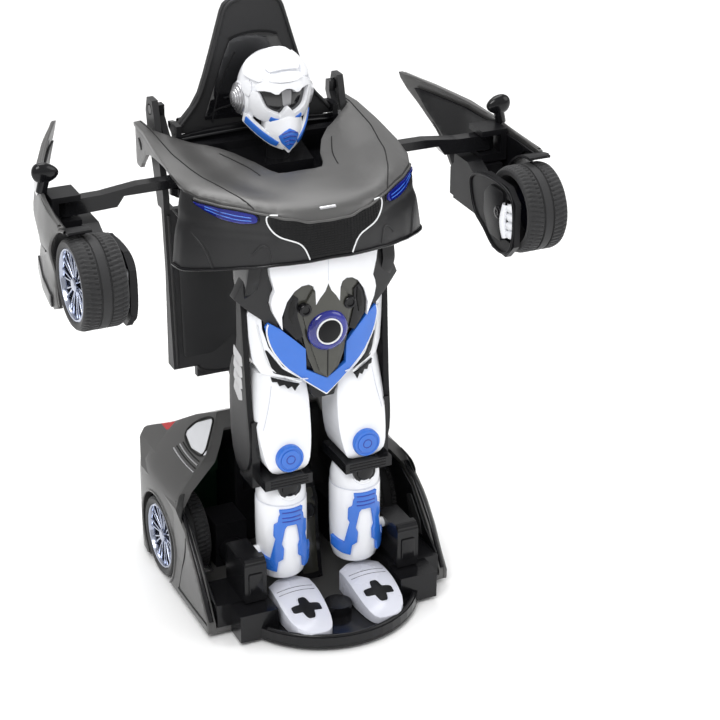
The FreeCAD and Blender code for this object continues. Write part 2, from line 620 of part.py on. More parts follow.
def chest_frame():
    """Inner frame: deck plate, shoulder pins, hinge lugs, cowl and the open rear pivots."""
    deck = [(33, -33), (50, -21), (53, 2), (46, 10), (46, 44), (52, 47), (52, 52)]
    parts = [prism("chest_deck", "XY", deck + mirror_x(deck, -1)[::-1], 240.4, 243.4)]
    parts.append(prism("chest_cowl", "YZ", [(42, 240.4), (42, 254.6), (49.5, 254.6), (49.5, 240.4)], -51, 51))
    parts.append(prism("neck_stage", "XY", [(-16, 12), (16, 12), (22, 44), (-22, 44)], 242, 250))
    tools = [rod("neck_socket", "Dims.neck_radius + Dims.clear_hole", 20.0, 0, 24, 244),
             block("hub_room", (-30, -21, 230), (30, -2.5, 246))]
    for word, side in SIDES:
        parts.append(side_prism("chest_lug_" + word, [(-20, 242), (-20, 229), (-5, 229), (-3, 242)], side, 30, 35))
        parts.append(rod("shoulder_boss_" + word, 5.4, 4.0, side * 60, 16, 240.4))
        low_x, high_x = span(side, 44, 61)
        parts.append(block("shoulder_shelf_" + word, (low_x, 10.8, 240.4), (high_x, 21.2, 243.4)))
        lug = [(44, 250), (44, 254.4), (50.6, 254.4), (51, 264), (59, 264.4), (64.2, 263.4), (64.2, 260.4),
               (60, 258.4), (54, 250)]
        parts.append(side_prism("roof_lug_" + word, lug, side, 45, 48))
        wall = [(44, 246), (44, 254.2), (53, 254.6), (58, 257.6), (65.5, 266.5), (65.5, 272.5), (70.5, 272.5), (71, 266), (66, 258),
                (60, 246)]
        parts.append(side_prism("rear_ear_" + word, wall, side, 49.2, 52.8))
        parts.append(side_rod("rear_stub_" + word, "Dims.link_pin_radius", side, 50, 57,
                              "Dims.link_top_y", "Dims.link_top_z"))
        tools.append(side_rod("roof_bore_" + word, "Dims.roof_pin_radius + Dims.clear_hole", side, 44.5, 48.5,
                              "Dims.roof_pivot_y", "Dims.roof_pivot_z"))
    pins = [rod("shoulder_pin_" + word, "Dims.arm_pin_radius", 11.6, side * 60, "Dims.shoulder_y", 238.6)
            for word, side in SIDES]
    pins.append(rod("chest_pin", "Dims.link_pin_radius", 66.0, -33, "Dims.chest_pivot_y", "Dims.chest_pivot_z", "X"))
    return node(fuse("chest_frame_all", [cut("chest_frame_cut", fuse("chest_all", parts), fuse("chest_tools", tools))]
                     + pins), "chest_frame")


# ---------------------------------------------------------------- head

def head():
    node(rod("neck_body", "Dims.neck_radius", 18.0, 0, 24, 244.2), "neck")
    dome = turned("helmet_dome", [(0, 266.5), (14, 266.5), (18, 271), (20.3, 280), (20.5, 289), (18.4, 298),
                                  (14, 304.6), (8, 308.3), (0, 309.5)], 0, 30.5, 0)
    face_room = prism("face_room", "YZ", [(0, 240), (0, 291), (15, 291), (19, 276), (24, 262), (60, 262), (60, 240)],
                      -40, 40)
    node(cut("helmet_cut", dome, face_room), "helmet")
    mask_side = [(9, 262.5), (7, 270), (9, 278), (9.5, 290.8), (14.8, 290.8), (18.8, 275.8), (23.5, 262.2)]
    mask_front = [(7, 262), (17, 272), (18, 291), (-18, 291), (-17, 272), (-7, 262)]
    node(common("mask_form", [prism("mask_side", "YZ", mask_side, -30, 30),
                              prism("mask_front", "XZ", mask_front, 0, 40)]), "face_mask")
    jaw_side = [(2, 259), (3.5, 268), (8.4, 277), (6.8, 270), (8.8, 262.3), (17, 262), (17, 259)]
    jaw_front = [(-5, 259), (5, 259), (9, 277), (-9, 277)]
    node(common("jaw_form", [prism("jaw_side", "YZ", jaw_side, -20, 20),
                             prism("jaw_front", "XZ", jaw_front, -10, 40)]), "jaw_guard")
    discs = [side_rod("ear_disc_" + word, "Dims.ear_radius", side, 20.6, 23.4, 30, 284) for word, side in SIDES]
    return node(fuse("ear_pair", discs), "ear_discs")


# ---------------------------------------------------------------- roof

def roof():
    half = [(0, 330), (13, 330), (17, 328), (20, 320), (30, 288), (34, 278), (43.5, 266), (43.5, 259), (0, 259)]
    outline = half + mirror_x(half, -1)[::-1][1:-1]
    window_half = [(0, 310), (14, 308), (20, 296), (30, 272), (30, 266), (0, 266)]
    window = window_half + mirror_x(window_half, -1)[::-1][1:-1]
    frame = cut("roof_form", prism("roof_plate", "XZ", outline, 55, 60), prism("roof_seat", "XZ", window, 54, 57.4))
    knuckle = rod("roof_knuckle", 3.0, 87.0, -43.5, "Dims.roof_pivot_y", "Dims.roof_pivot_z", "X")
    pin = rod("roof_pin", "Dims.roof_pin_radius", 96.0, -48, "Dims.roof_pivot_y", "Dims.roof_pivot_z", "X")
    node(fuse("roof_all", [frame, knuckle, pin]), "roof_panel")
    return node(prism("windscreen_body", "XZ", window, 55.2, 57.4), "windscreen")


# ---------------------------------------------------------------- arms and doors

def arm(word, side):
    """Stepped arm: thin near the shoulder, deeper towards the elbow."""
    outline = [(54.5, 245), (92, 245), (96, 239.5), (129, 238.2), (129, 247.2), (104, 247.6), (84, 250), (54.5, 250)]
    plan = [(54, 11), (66, 12.4), (124, 12.4), (127.4, 14), (127.4, 18), (124, 19.6), (66, 19.6), (54, 21)]
    form = common("arm_form_" + word, [prism("arm_front_" + word, "XZ", mirror_x(outline, side), 5, 27),
                                       prism("arm_plan_" + word, "XY", mirror_x(plan, side), 230, 260)])
    holes = [rod("arm_bore_" + word, "Dims.arm_pin_radius + Dims.clear_hole", 12.0, side * 60, "Dims.shoulder_y", 243),
             rod("arm_elbow_bore_" + word, "Dims.arm_pin_radius + Dims.clear_hole", 14.0, side * 123,
                 "Dims.shoulder_y", 236)]
    return node(cut("arm_cut_" + word, form, fuse("arm_bores_" + word, holes)), "arm_" + word)


def door_outline():
    """Side view of a door, with the front wheel's arch cut into its front edge."""
    arch = []
    for degrees in (70, 50, 30, 10, -10, -30, -48):
        a = math.radians(degrees)
        arch.append((-32 + 27.4 * math.cos(a), 220 + 27.4 * math.sin(a)))
    top = [(-24, 247.8), (15, 249.6), (24, 253), (60, 259), (92.3, 264.5)]
    rear = [(86, 254), (76, 241), (65, 228), (55, 216), (49, 206), (46, 198)]
    return top + rear + [(-8, 196)] + arch[::-1]


def door(word, side):
    outer = [(140, -26), (139.5, 0), (137, 20), (131.5, 45), (120.5, 70), (107.5, 92.5)]
    inner = [(105.4, 90.6), (118, 68.4), (128.8, 43.5), (134, 19.5), (136.5, 0), (137, -26)]
    plan = prism("door_plan_" + word, "XY", mirror_x(outer + inner, side), 190, 270)
    panel = common("door_form_" + word, [plan, side_prism("door_side_" + word, door_outline(), side, 100, 142)])
    sill = side_prism("sill_body_" + word, [(-4, 196), (44, 198), (44, 202.5), (-2, 201)], side, 122, 133)
    return node(fuse("door_all_" + word, [panel, sill]), "door_" + word)


def door_carrier(word, side):
    """Black bracket: elbow fork, web to the door and the plate that carries the wheel."""
    fork = [(8, 233.0), (8, 251.4), (24, 251.4), (24, 233.0)]
    web = [(6, 206), (6, 232), (26, 232), (36, 222), (36, 206)]
    plate = [(-40, 196), (-24, 196), (-14, 204), (-2, 208), (4, 222), (4, 230), (-14, 237), (-40, 237), (-49, 230),
             (-49, 205)]
    shapes = [side_prism("carrier_fork_" + word, fork, side, 117, 132.6),
              side_prism("carrier_web_" + word, web, side, 112, 129.4),
              side_prism("carrier_plate_" + word, plate, side, 108, 111.4),
              side_prism("carrier_link_" + word, [(-2, 208), (-2, 230), (8, 235), (24, 235), (24, 208)], side, 108,
                         117.4)]
    parts = fuse("carrier_all_" + word, shapes)
    low_x, high_x = span(side, 110, 128.9)
    slot = block("fork_slot_" + word, (low_x, -3, 237.6), (high_x, 30, 248.2))
    low_x, high_x = span(side, 107, 112)
    recess = block("fist_window_" + word, (low_x, -47, 206), (high_x, -38, 230))
    axle = side_rod("carrier_bore_" + word, "Dims.axle_radius + Dims.clear_hole", side, 106, 113,
                    "Dims.front_wheel_y", "Dims.front_wheel_z")
    pin = rod("elbow_rod_" + word, "Dims.arm_pin_radius", 17.0, side * 123, "Dims.shoulder_y", 234)
    body = cut("carrier_cut_" + word, parts, fuse("carrier_tools_" + word, [slot, recess, axle]))
    return node(fuse("carrier_form_" + word, [body, pin]), "wheel_carrier_" + word)


def hand(word, side):
    low_x, high_x = span(side, 106.4, 112.4)
    palm = block("palm_" + word, (low_x, -46.6, 207), (high_x, -38.4, 228))
    return node(palm, "hand_" + word)


def mirrors(word, side):
    pod = ball("mirror_pod_" + word, (side * 134, 19, 266), (6.5, 5, 4.6))
    stalk = rod("mirror_stalk_" + word, 1.6, 12.2, side * 135.2, 19.4, 252)
    return node(fuse("mirror_all_" + word, [pod, stalk]), "mirror_" + word)


def pair(label, maker):
    """One node made of a left and a right piece."""
    return node(fuse(label + "_pair", [maker(word, side) for word, side in SIDES]), label)


def build():
    base_shell()
    tail_lamps()
    front_platform()
    caster()
    centre_column()
    base_inner_parts()
    power_switch()
    base_screws()
    torso_core()
    abdomen()
    belly_light()
    belt()
    breastplate()
    torso_screws()
    rear_link()
    hood()
    bumper()
    grille()
    chest_frame()
    head()
    roof()
    wheels()
    for label, maker in (("ankle_clamps", ankle_clamp), ("ankle_pins", ankle_pin), ("feet", foot),
                         ("drive_units", drive_unit), ("shins", shin), ("shin_armour", shin_armour),
                         ("knee_brackets", knee_bracket), ("thighs", thigh), ("knee_caps", knee_cap),
                         ("hip_plates", hip_plate), ("torso_sides", torso_side), ("headlamps", headlamp)):
        pair(label, maker)
    for word, side in SIDES:
        for maker in (arm, door, door_carrier, hand, mirrors):
            maker(word, side)


build()
doc.recompute()

for obj in doc.Objects:
    if any(flag in obj.State for flag in ("Invalid", "Error")):
        raise RuntimeError("%s did not recompute: %s" % (obj.Name, obj.State))
for obj in NODES:
    if obj.Shape.isNull() or not obj.Shape.isValid():
        raise RuntimeError("%s has a bad shape" % obj.Label)

os.makedirs("parts", exist_ok=True)
for obj in NODES:
    obj.Shape.exportStep("parts/%s.step" % obj.Label)
    box = obj.Shape.BoundBox
    print("%-22s solids %d  volume %9.1f  x %.1f..%.1f  y %.1f..%.1f  z %.1f..%.1f" % (
        obj.Label, len(obj.Shape.Solids), obj.Shape.Volume, box.XMin, box.XMax, box.YMin, box.YMax, box.ZMin,
        box.ZMax))
print("nodes", len(NODES))
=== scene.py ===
import math

import bmesh
import bpy
from mathutils import Matrix, Vector


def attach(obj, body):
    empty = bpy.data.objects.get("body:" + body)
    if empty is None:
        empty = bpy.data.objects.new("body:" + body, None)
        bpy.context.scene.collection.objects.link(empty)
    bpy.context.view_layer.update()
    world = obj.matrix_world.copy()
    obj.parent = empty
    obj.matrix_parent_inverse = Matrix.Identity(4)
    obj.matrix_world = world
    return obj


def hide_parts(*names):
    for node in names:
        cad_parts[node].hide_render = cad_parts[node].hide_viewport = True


# Transforming robot car. Lengths below are in mm and go through MM; the scene itself is in metres.
# +X is the robot's left, -Y is the way it faces, +Z is up.

MM = 0.001
PLASTIC_IOR = 1.46
SIDES = (("left", 1), ("right", -1))

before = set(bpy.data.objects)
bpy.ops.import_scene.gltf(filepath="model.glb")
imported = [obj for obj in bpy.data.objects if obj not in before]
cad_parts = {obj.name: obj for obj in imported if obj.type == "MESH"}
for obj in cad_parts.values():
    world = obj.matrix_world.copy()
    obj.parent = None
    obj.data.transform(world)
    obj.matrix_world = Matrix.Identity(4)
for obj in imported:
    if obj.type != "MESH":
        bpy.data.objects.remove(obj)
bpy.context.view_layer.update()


# ---------------------------------------------------------------- materials

def shader(name, color, rough, metallic=0.0, coat=0.0, coat_rough=0.1, bump=0.04, grain=900.0, tint=0.25,
           rough_spread=0.10, transmission=0.0, edge=0.12, sheen=0.0, specular=0.5):
    """Moulded or painted surface: mottled colour, uneven gloss, fine grain and lighter worn edges."""
    mat = bpy.data.materials.new(name)
    mat.use_nodes = True
    nodes, links = mat.node_tree.nodes, mat.node_tree.links
    bsdf = nodes["Principled BSDF"]
    bsdf.inputs["Metallic"].default_value = metallic
    bsdf.inputs["IOR"].default_value = PLASTIC_IOR
    bsdf.inputs["Coat Weight"].default_value = coat
    bsdf.inputs["Coat Roughness"].default_value = coat_rough
    bsdf.inputs["Transmission Weight"].default_value = transmission
    bsdf.inputs["Sheen Weight"].default_value = sheen
    bsdf.inputs["Specular IOR Level"].default_value = specular
    where = nodes.new("ShaderNodeTexCoord")
    broad = nodes.new("ShaderNodeTexNoise")
    broad.inputs["Scale"].default_value = 38.0
    broad.inputs["Detail"].default_value = 6.0
    fine = nodes.new("ShaderNodeTexNoise")
    fine.inputs["Scale"].default_value = grain
    fine.inputs["Detail"].default_value = 3.0
    ramp = nodes.new("ShaderNodeValToRGB")
    dark = [c * (1.0 - tint) for c in color]
    light = [min(1.0, c * (1.0 + tint * 0.6)) for c in color]
    ramp.color_ramp.elements[0].position = 0.3
    ramp.color_ramp.elements[0].color = (*dark, 1.0)
    ramp.color_ramp.elements[1].position = 0.7
    ramp.color_ramp.elements[1].color = (*light, 1.0)
    wear = nodes.new("ShaderNodeNewGeometry")
    wear_ramp = nodes.new("ShaderNodeValToRGB")
    wear_ramp.color_ramp.elements[0].position = 0.52
    wear_ramp.color_ramp.elements[0].color = (0, 0, 0, 1)
    wear_ramp.color_ramp.elements[1].position = 0.62
    wear_ramp.color_ramp.elements[1].color = (edge, edge, edge, 1)
    mix = nodes.new("ShaderNodeMix")
    mix.data_type = "RGBA"
    mix.inputs["B"].default_value = (*[min(1.0, c * 1.6 + 0.04) for c in color], 1.0)
    gloss = nodes.new("ShaderNodeMapRange")
    gloss.inputs["To Min"].default_value = max(0.02, rough - rough_spread)
    gloss.inputs["To Max"].default_value = min(1.0, rough + rough_spread)
    lift = nodes.new("ShaderNodeBump")
    lift.inputs["Strength"].default_value = bump
    lift.inputs["Distance"].default_value = 0.0004
    links.new(where.outputs["Object"], broad.inputs["Vector"])
    links.new(where.outputs["Object"], fine.inputs["Vector"])
    links.new(broad.outputs["Fac"], ramp.inputs["Fac"])
    links.new(wear.outputs["Pointiness"], wear_ramp.inputs["Fac"])
    links.new(wear_ramp.outputs["Color"], mix.inputs["Factor"])
    links.new(ramp.outputs["Color"], mix.inputs["A"])
    links.new(mix.outputs["Result"], bsdf.inputs["Base Color"])
    links.new(broad.outputs["Fac"], gloss.inputs["Value"])
    links.new(gloss.outputs["Result"], bsdf.inputs["Roughness"])
    links.new(fine.outputs["Fac"], lift.inputs["Height"])
    links.new(lift.outputs["Normal"], bsdf.inputs["Normal"])
    return mat


# Each look: material slot, material name, colour, roughness and the rest of its settings.
LOOKS = {
    "hood": ("hood_grey", "satin_grey_paint", (0.084, 0.083, 0.082), 0.38,
        dict(metallic=0.35, coat=0.18, coat_rough=0.28, bump=0.10, grain=2600, tint=0.06)),
    "fascia": ("fascia_black", "matte_black_fascia", (0.021, 0.021, 0.022), 0.44,
        dict(bump=0.14, grain=2200, tint=0.12, specular=0.36)),
    "black": ("black_plastic", "gloss_black_plastic", (0.006, 0.006, 0.007), 0.18,
        dict(coat=0.06, bump=0.05, grain=700, tint=0.2, edge=0.05, specular=0.32)),
    "inner": ("black_plastic", "inner_black_plastic", (0.006, 0.006, 0.007), 0.38,
        dict(bump=0.12, grain=1500, tint=0.2, edge=0.05, specular=0.22)),
    "white": ("white_plastic", "gloss_white_plastic", (0.83, 0.84, 0.87), 0.20,
        dict(coat=0.35, coat_rough=0.06, bump=0.03, grain=500, tint=0.03, edge=0.0)),
    "foot": ("foot_white", "pale_grey_plastic", (0.62, 0.63, 0.70), 0.26,
        dict(coat=0.3, coat_rough=0.1, bump=0.04, grain=600, tint=0.04, edge=0.0)),
    "blue": ("blue_plastic", "gloss_blue_plastic", (0.026, 0.150, 0.600), 0.24,
        dict(coat=0.4, coat_rough=0.08, bump=0.03, grain=500, tint=0.08, edge=0.1)),
    "deep_blue": ("blue_plastic", "deep_blue_plastic", (0.020, 0.045, 0.33), 0.25,
        dict(coat=0.3, bump=0.05, grain=600, tint=0.12)),
    "blue_lens": ("blue_lens", "blue_lens", (0.008, 0.016, 0.30), 0.10,
        dict(coat=0.8, coat_rough=0.04, bump=0.25, grain=260, tint=0.6, transmission=0.35)),
    "red_lens": ("red_lens", "red_lens", (0.55, 0.010, 0.015), 0.12,
        dict(coat=0.7, bump=0.2, grain=260, tint=0.4, transmission=0.3)),
    "glass": ("dark_glass", "black_window", (0.006, 0.006, 0.007), 0.10,
        dict(coat=0.6, coat_rough=0.04, bump=0.02, grain=200, tint=0.2, rough_spread=0.04)),
    "smoke": ("white_plastic", "smoked_window", (0.70, 0.71, 0.74), 0.14,
        dict(coat=0.6, coat_rough=0.05, bump=0.02, grain=200, tint=0.06, rough_spread=0.04)),
    "olive": ("abdomen_grey", "olive_black_plastic", (0.040, 0.040, 0.032), 0.20,
        dict(coat=0.35, coat_rough=0.12, bump=0.05, grain=700, tint=0.15)),
    "tyre": ("tyre_rubber", "tyre_rubber", (0.022, 0.022, 0.023), 0.60,
        dict(bump=0.22, grain=1400, tint=0.2, sheen=0.10, specular=0.3)),
    "chrome": ("rim_chrome", "chromed_spokes", (0.40, 0.43, 0.52), 0.16,
        dict(metallic=1.0, bump=0.02, grain=400, tint=0.1)),
    "rim_dark": ("rim_chrome", "blue_black_rim", (0.006, 0.007, 0.022), 0.3,
        dict(coat=0.1, bump=0.03, grain=400, tint=0.3)),
    "silver": ("silver_plastic", "silver_paint", (0.52, 0.52, 0.54), 0.30,
        dict(metallic=0.85, bump=0.05, grain=1200, tint=0.12)),
    "steel": ("steel", "bare_steel", (0.30, 0.30, 0.31), 0.34,
        dict(metallic=1.0, bump=0.10, grain=900, tint=0.15)),
    "decal": ("silver_plastic", "silver_decal", (0.50, 0.50, 0.51), 0.42,
        dict(metallic=0.3, bump=0.02, grain=900, tint=0.2, edge=0.0)),
    "seam": ("black_plastic", "seam_shadow", (0.004, 0.004, 0.004), 0.7,
        dict(bump=0.02, tint=0.1, edge=0.0)),
    "trim": ("white_plastic", "white_trim_paint", (0.78, 0.79, 0.80), 0.3,
        dict(coat=0.2, bump=0.03, tint=0.05, edge=0.0)),
    "board": ("board_green", "circuit_board", (0.004, 0.032, 0.013), 0.4,
        dict(bump=0.2, grain=300, tint=0.35)),
    "wrap": ("battery_wrap", "battery_wrap", (0.030, 0.110, 0.300), 0.3,
        dict(coat=0.2, bump=0.08, grain=200, tint=0.2)),
}
MATS = {look: shader(*row[1:4], **row[4]) for look, row in LOOKS.items()}

CAD_LOOK = {"base_shell": "hood", "tail_lamps": "red_lens", "front_platform": "black",
            "caster_roller": "inner", "centre_column": "black", "battery_pack": "wrap",
            "control_board": "board", "speaker": "inner", "power_switch": "inner", "base_screws": "steel",
            "rear_link": "fascia", "chest_frame": "black", "ankle_clamps": "black", "ankle_pins": "white",
            "drive_units": "inner", "knee_brackets": "black", "wheel_carrier_left": "inner",
            "wheel_carrier_right": "inner", "arm_left": "black", "arm_right": "black", "neck": "inner"}


def repaint_cad():
    """Give the CAD nodes that stay visible their materials."""
    for name, key in CAD_LOOK.items():
        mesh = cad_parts[name].data
        mesh.materials.clear()
        mesh.materials.append(MATS[key])


# ---------------------------------------------------------------- mesh helpers

def smooth_outline(points, rounds=2):
    """Corner-cutting that turns a coarse outline into a flowing one."""
    for _ in range(rounds):
        softer = []
        for here, there in zip(points, points[1:] + points[:1]):
            softer.append((0.75 * here[0] + 0.25 * there[0], 0.75 * here[1] + 0.25 * there[1]))
            softer.append((0.25 * here[0] + 0.75 * there[0], 0.25 * here[1] + 0.75 * there[1]))
        points = softer
    return points


def round_corners(points, radius, steps=4):
    """Replace each corner with a short arc-like curve of about the given size."""
    out = []
    count = len(points)
    for i, corner in enumerate(points):
        before = Vector(points[i - 1])
        here = Vector(corner)
        after = Vector(points[(i + 1) % count])
        back = before - here
        ahead = after - here
        a = here + back.normalized() * min(radius, back.length * 0.45)
        b = here + ahead.normalized() * min(radius, ahead.length * 0.45)
        for k in range(steps + 1):
            f = k / steps
            p = a * (1 - f) ** 2 + here * 2 * f * (1 - f) + b * f ** 2
            out.append((p.x, p.y))
    return out


def flip(points, side):
    """Mirror an outline drawn for the +X side when the side is -1."""
    return [(side * u, v) for u, v in points]


def both_halves(half):
    """Closed outline from its +X half, whose first and last points lie on the middle line."""
    return half + [(-u, v) for u, v in half[::-1] if abs(u) > 1e-6]


def both_in(side, node):
    """CAD node that holds both sides; the piece on the +X side stands for it."""
    return [node] if side > 0 else []


def finish_piece(name, bm, look, body, stands_for=(), bevel=0.0, bevel_angle=35.0, segments=2, sharp=38.0):
    """Bevel, shade and register a mesh whose corners are already in metres."""
    bmesh.ops.remove_doubles(bm, verts=bm.verts, dist=1e-6)
    bmesh.ops.recalc_face_normals(bm, faces=bm.faces)
    if bevel > 0:
        edges = [e for e in bm.edges if len(e.link_faces) == 2
                 and e.calc_face_angle(0.0) > math.radians(bevel_angle)]
        bmesh.ops.bevel(bm, geom=edges, offset=bevel * MM, segments=segments, profile=0.5, affect="EDGES",
                        clamp_overlap=True)
    mesh = bpy.data.meshes.new(name)
    bm.to_mesh(mesh)
    bm.free()
    mesh.shade_smooth()
    mesh.set_sharp_from_angle(angle=math.radians(sharp))
    mesh.materials.append(MATS[look])
    obj = bpy.data.objects.new(name, mesh)
    bpy.context.scene.collection.objects.link(obj)
    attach(obj, body)
    if stands_for:
        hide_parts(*stands_for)
    return obj


def slab_mesh(outline, low, high, mapping, step):
    """Prism in (u, v, w) cut into cells of about the step, then bent by the mapping."""
    bm = bmesh.new()
    bottom = [bm.verts.new((u, v, low)) for u, v in outline]
    top = [bm.verts.new((u, v, high)) for u, v in outline]
    bm.faces.new(bottom[::-1])
    bm.faces.new(top)
    count = len(outline)
    for i in range(count):
        j = (i + 1) % count
        bm.faces.new((bottom[i], bottom[j], top[j], top[i]))
    if step:
        for axis in (0, 1):
            values = [p[axis] for p in outline]
            first, last = min(values), max(values)
            cuts = int((last - first) / step)
            for k in range(1, cuts + 1):
                at = [0.0, 0.0, 0.0]
                at[axis] = first + (last - first) * k / (cuts + 1)
                normal = [0.0, 0.0, 0.0]
                normal[axis] = 1.0
                geometry = bm.verts[:] + bm.edges[:] + bm.faces[:]
                bmesh.ops.bisect_plane(bm, geom=geometry, plane_co=at, plane_no=normal, dist=1e-5)
        bmesh.ops.triangulate(bm, faces=[f for f in bm.faces if len(f.verts) > 4])
    for vert in bm.verts:
        vert.co = Vector(mapping(*vert.co)) * MM
    return bm


def slab(name, outline, low, high, mapping, look, body, step=4.0, **finish):
    """Bent slab as a finished piece."""
    return finish_piece(name, slab_mesh(outline, low, high, mapping, step), look, body, **finish)


def lathe_mesh(profile, steps, mapping):
    """Turned shape from (radius, height) points; a profile that starts off the axis closes on itself."""
    bm = bmesh.new()
    rings = []
    for radius, height in profile:
        ring = []
        for k in range(steps):
            a = 2 * math.pi * k / steps
            ring.append(bm.verts.new(Vector(mapping(radius * math.cos(a), radius * math.sin(a),
                                                    height)) * MM))
        rings.append(ring)
    hollow = profile[0][0] > 1.0
    for low, high in zip(rings, rings[1:] + (rings[:1] if hollow else [])):
        for k in range(steps):
            n = (k + 1) % steps
            bm.faces.new((low[k], low[n], high[n], high[k]))
    if not hollow:
        bm.faces.new(rings[0][::-1])
        bm.faces.new(rings[-1])
    return bm


def lathe(name, profile, mapping, look, body, steps=48, **finish):
    """Turned shape as a finished piece."""
    return finish_piece(name, lathe_mesh(profile, steps, mapping), look, body, **finish)


def tube(name, points, radius, look, body, stands_for=(), closed=False):
    """Round bead along a path of 3-D points."""
    curve = bpy.data.curves.new(name, "CURVE")
    curve.dimensions = "3D"
    curve.bevel_depth = radius * MM
    curve.bevel_resolution = 3
    curve.resolution_u = 6
    spline = curve.splines.new("NURBS")
    spline.points.add(len(points) - 1)
    for knot, point in zip(spline.points, points):
        knot.co = (*[c * MM for c in point], 1.0)
    spline.use_cyclic_u = closed
    spline.order_u = 3
    spline.use_endpoint_u = not closed
    holder = bpy.data.objects.new(name + "_path", curve)
    bpy.context.scene.collection.objects.link(holder)
    mesh = bpy.data.meshes.new_from_object(holder.evaluated_get(bpy.context.evaluated_depsgraph_get()))
    bpy.data.objects.remove(holder)
    mesh.materials.clear()
    mesh.materials.append(MATS[look])
    mesh.shade_smooth()
    obj = bpy.data.objects.new(name, mesh)
    bpy.context.scene.collection.objects.link(obj)
    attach(obj, body)
    if stands_for:
        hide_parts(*stands_for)
    return obj


def lerp_table(table, at):
    """Piecewise-linear value from sorted (key, value) pairs, held flat past both ends."""
    if at <= table[0][0]:
        return table[0][1]
    for (k0, v0), (k1, v1) in zip(table, table[1:]):
        if at <= k1:
            f = (at - k0) / (k1 - k0)
            return v0 + (v1 - v0) * f
    return table[-1][1]


def bump_at(x, centre, width):
    """Smooth hump of height 1."""
    return math.exp(-((x - centre) / width) ** 2)


# ---------------------------------------------------------------- chest: hood and bumper

HOOD_LINE = [(-47, 241.0), (-44, 243.8), (-38, 246.6), (-30, 248.8), (-20, 250.6), (-8, 252.0), (4, 253.0),
             (12, 253.6), (30, 256.2), (60, 260.0), (78, 259.6)]


def hood_edge(y):
    """Half width of the hood in plan."""
    return lerp_table([(-46.6, 8), (-44.5, 19), (-42.5, 24), (-35.5, 37), (-24, 52), (-14, 61), (-4, 65),
                       (12, 66), (40, 65.5), (60, 64), (78, 62.8)], y)


def hood_front(x):
    """Front edge of the hood in plan, as y for a half width."""
    return lerp_table([(0, -46.6), (8, -46.6), (19, -44.5), (24, -42.5), (37, -35.5), (52, -24), (61, -14),
                       (65, -4), (66, 12)], x)


def seam_x(y):
    """Line where the hood meets a front wing."""
    return lerp_table([(-36, 37.5), (-20, 45.5), (0, 53), (30, 58.5), (60, 59.5), (78, 59.5)], y)


def hood_height(x, y):
    x = abs(x)
    z = lerp_table(HOOD_LINE, y)
    fade = min(1.0, max(0.0, (y + 46) / 30))
    z += 1.1 * bump_at(x, seam_x(y), 7.0) * fade
    z -= 1.4 * bump_at(x, seam_x(y) - 17.0, 8.0) * min(1.0, max(0.0, (y + 34) / 16))
    z += 0.8 * bump_at(x, 0, 14) * fade
    edge = max(0.0, min(hood_edge(y) - x, y - hood_front(x)))
    if edge < 5.0:
        z -= 0.064 * (5.0 - edge) ** 2 * min(1.0, max(0.0, (12.0 - y) / 12.0))
    return z


def on_hood(u, v, w):
    """u across, v back, w above the hood."""
    return (u, v, hood_height(u, v) + w)


def hood():
    """Curved top skin, side tips, shut lines and creases."""
    half = [(0, -46.6), (8, -46.6), (19, -44.5), (24, -42.5), (37, -35.5), (52, -24), (61, -14), (65, -4),
            (66, 12), (65.5, 40), (64, 60), (63, 78), (58.6, 78), (58.2, 59), (46, 48), (36, 38), (26, 24),
            (19, 10), (15.5, -2), (12.5, -7.2), (8, -8.4), (0, -8.6)]
    slab("hood_skin", both_halves(half), -2.0, 0.0, on_hood, "hood", "chest", step=3.2, stands_for=["hood"],
         bevel=0.6, bevel_angle=50, sharp=50)
    for word, side in SIDES:
        def wing(u, v, w, side=side):
            return (side * (hood_edge(u) - 2.8 + w), u, v)
        tip = [(22, 255.0), (22, 252.6), (30, 252.6), (40, 252.2), (50, 250.8), (57, 248.6), (61, 244.8),
               (66, 240.2), (69, 236.6), (76, 236.2), (77.6, 238), (78, 258.2), (58, 258.4), (40, 256.6)]
        slab("wing_tip_" + word, round_corners(tip, 0.8), 0, 2.2, wing, "hood", "chest", step=4, bevel=0.35)
        path = [(side * seam_x(y), y, hood_height(seam_x(y), y) + 0.02) for y in range(-35, 78, 4)]
        tube("wing_seam_" + word, path, 0.32, "seam", "chest")
        crease = [(side * x, y, hood_height(x, y) + 0.02) for x,
                  y in ((22.5, -6), (24, 4), (28.5, 16), (33, 26))]
        tube("hood_crease_" + word, crease, 0.35, "seam", "chest")
        slab("wing_catch_" + word, round_corners([(66.5, 247.5), (73, 252.5), (70.5, 254), (66.5, 251)], 0.8),
             1.8, 2.6, wing, "inner", "chest", step=0, bevel=0.15)
    badge = round_corners([(-4.6, -43.6), (4.6, -43.6), (4.6, -42.4), (-4.6, -42.4)], 0.4)
    slab("nose_bar", badge, 0, 0.35, on_hood, "silver", "chest", step=1.2, bevel=0.1)


FACE_BOTTOM = [(0, -46.9), (12, -46.9), (24, -44.8), (36, -41), (52, -30), (64, -18.5), (70.3, -11),
               (71.5, 0), (71, 6)]
FACE_TOP = [(0, -46.4), (12, -46.0), (24, -42.4), (37, -35.4), (52, -24), (61, -14.2), (64.8, -5), (65.6, 0),
            (65.8, 6)]


def along(path, f):
    """Point at a fraction of a polyline's length."""
    spans = [math.dist(a, b) for a, b in zip(path, path[1:])]
    goal = f * sum(spans)
    for (a, b), span in zip(zip(path, path[1:]), spans):
        if goal <= span:
            t = goal / span
            return (a[0] + (b[0] - a[0]) * t, a[1] + (b[1] - a[1]) * t)
        goal -= span
    return path[-1]


def face_bottom_z(f):
    return lerp_table([(0, 217.6), (0.3, 216.6), (0.5, 214.0), (0.8, 208.8), (1.0, 208.2)], f)


def face_top_z(f):
    x, y = along(FACE_TOP, f)
    return hood_height(x, y) - 1.2


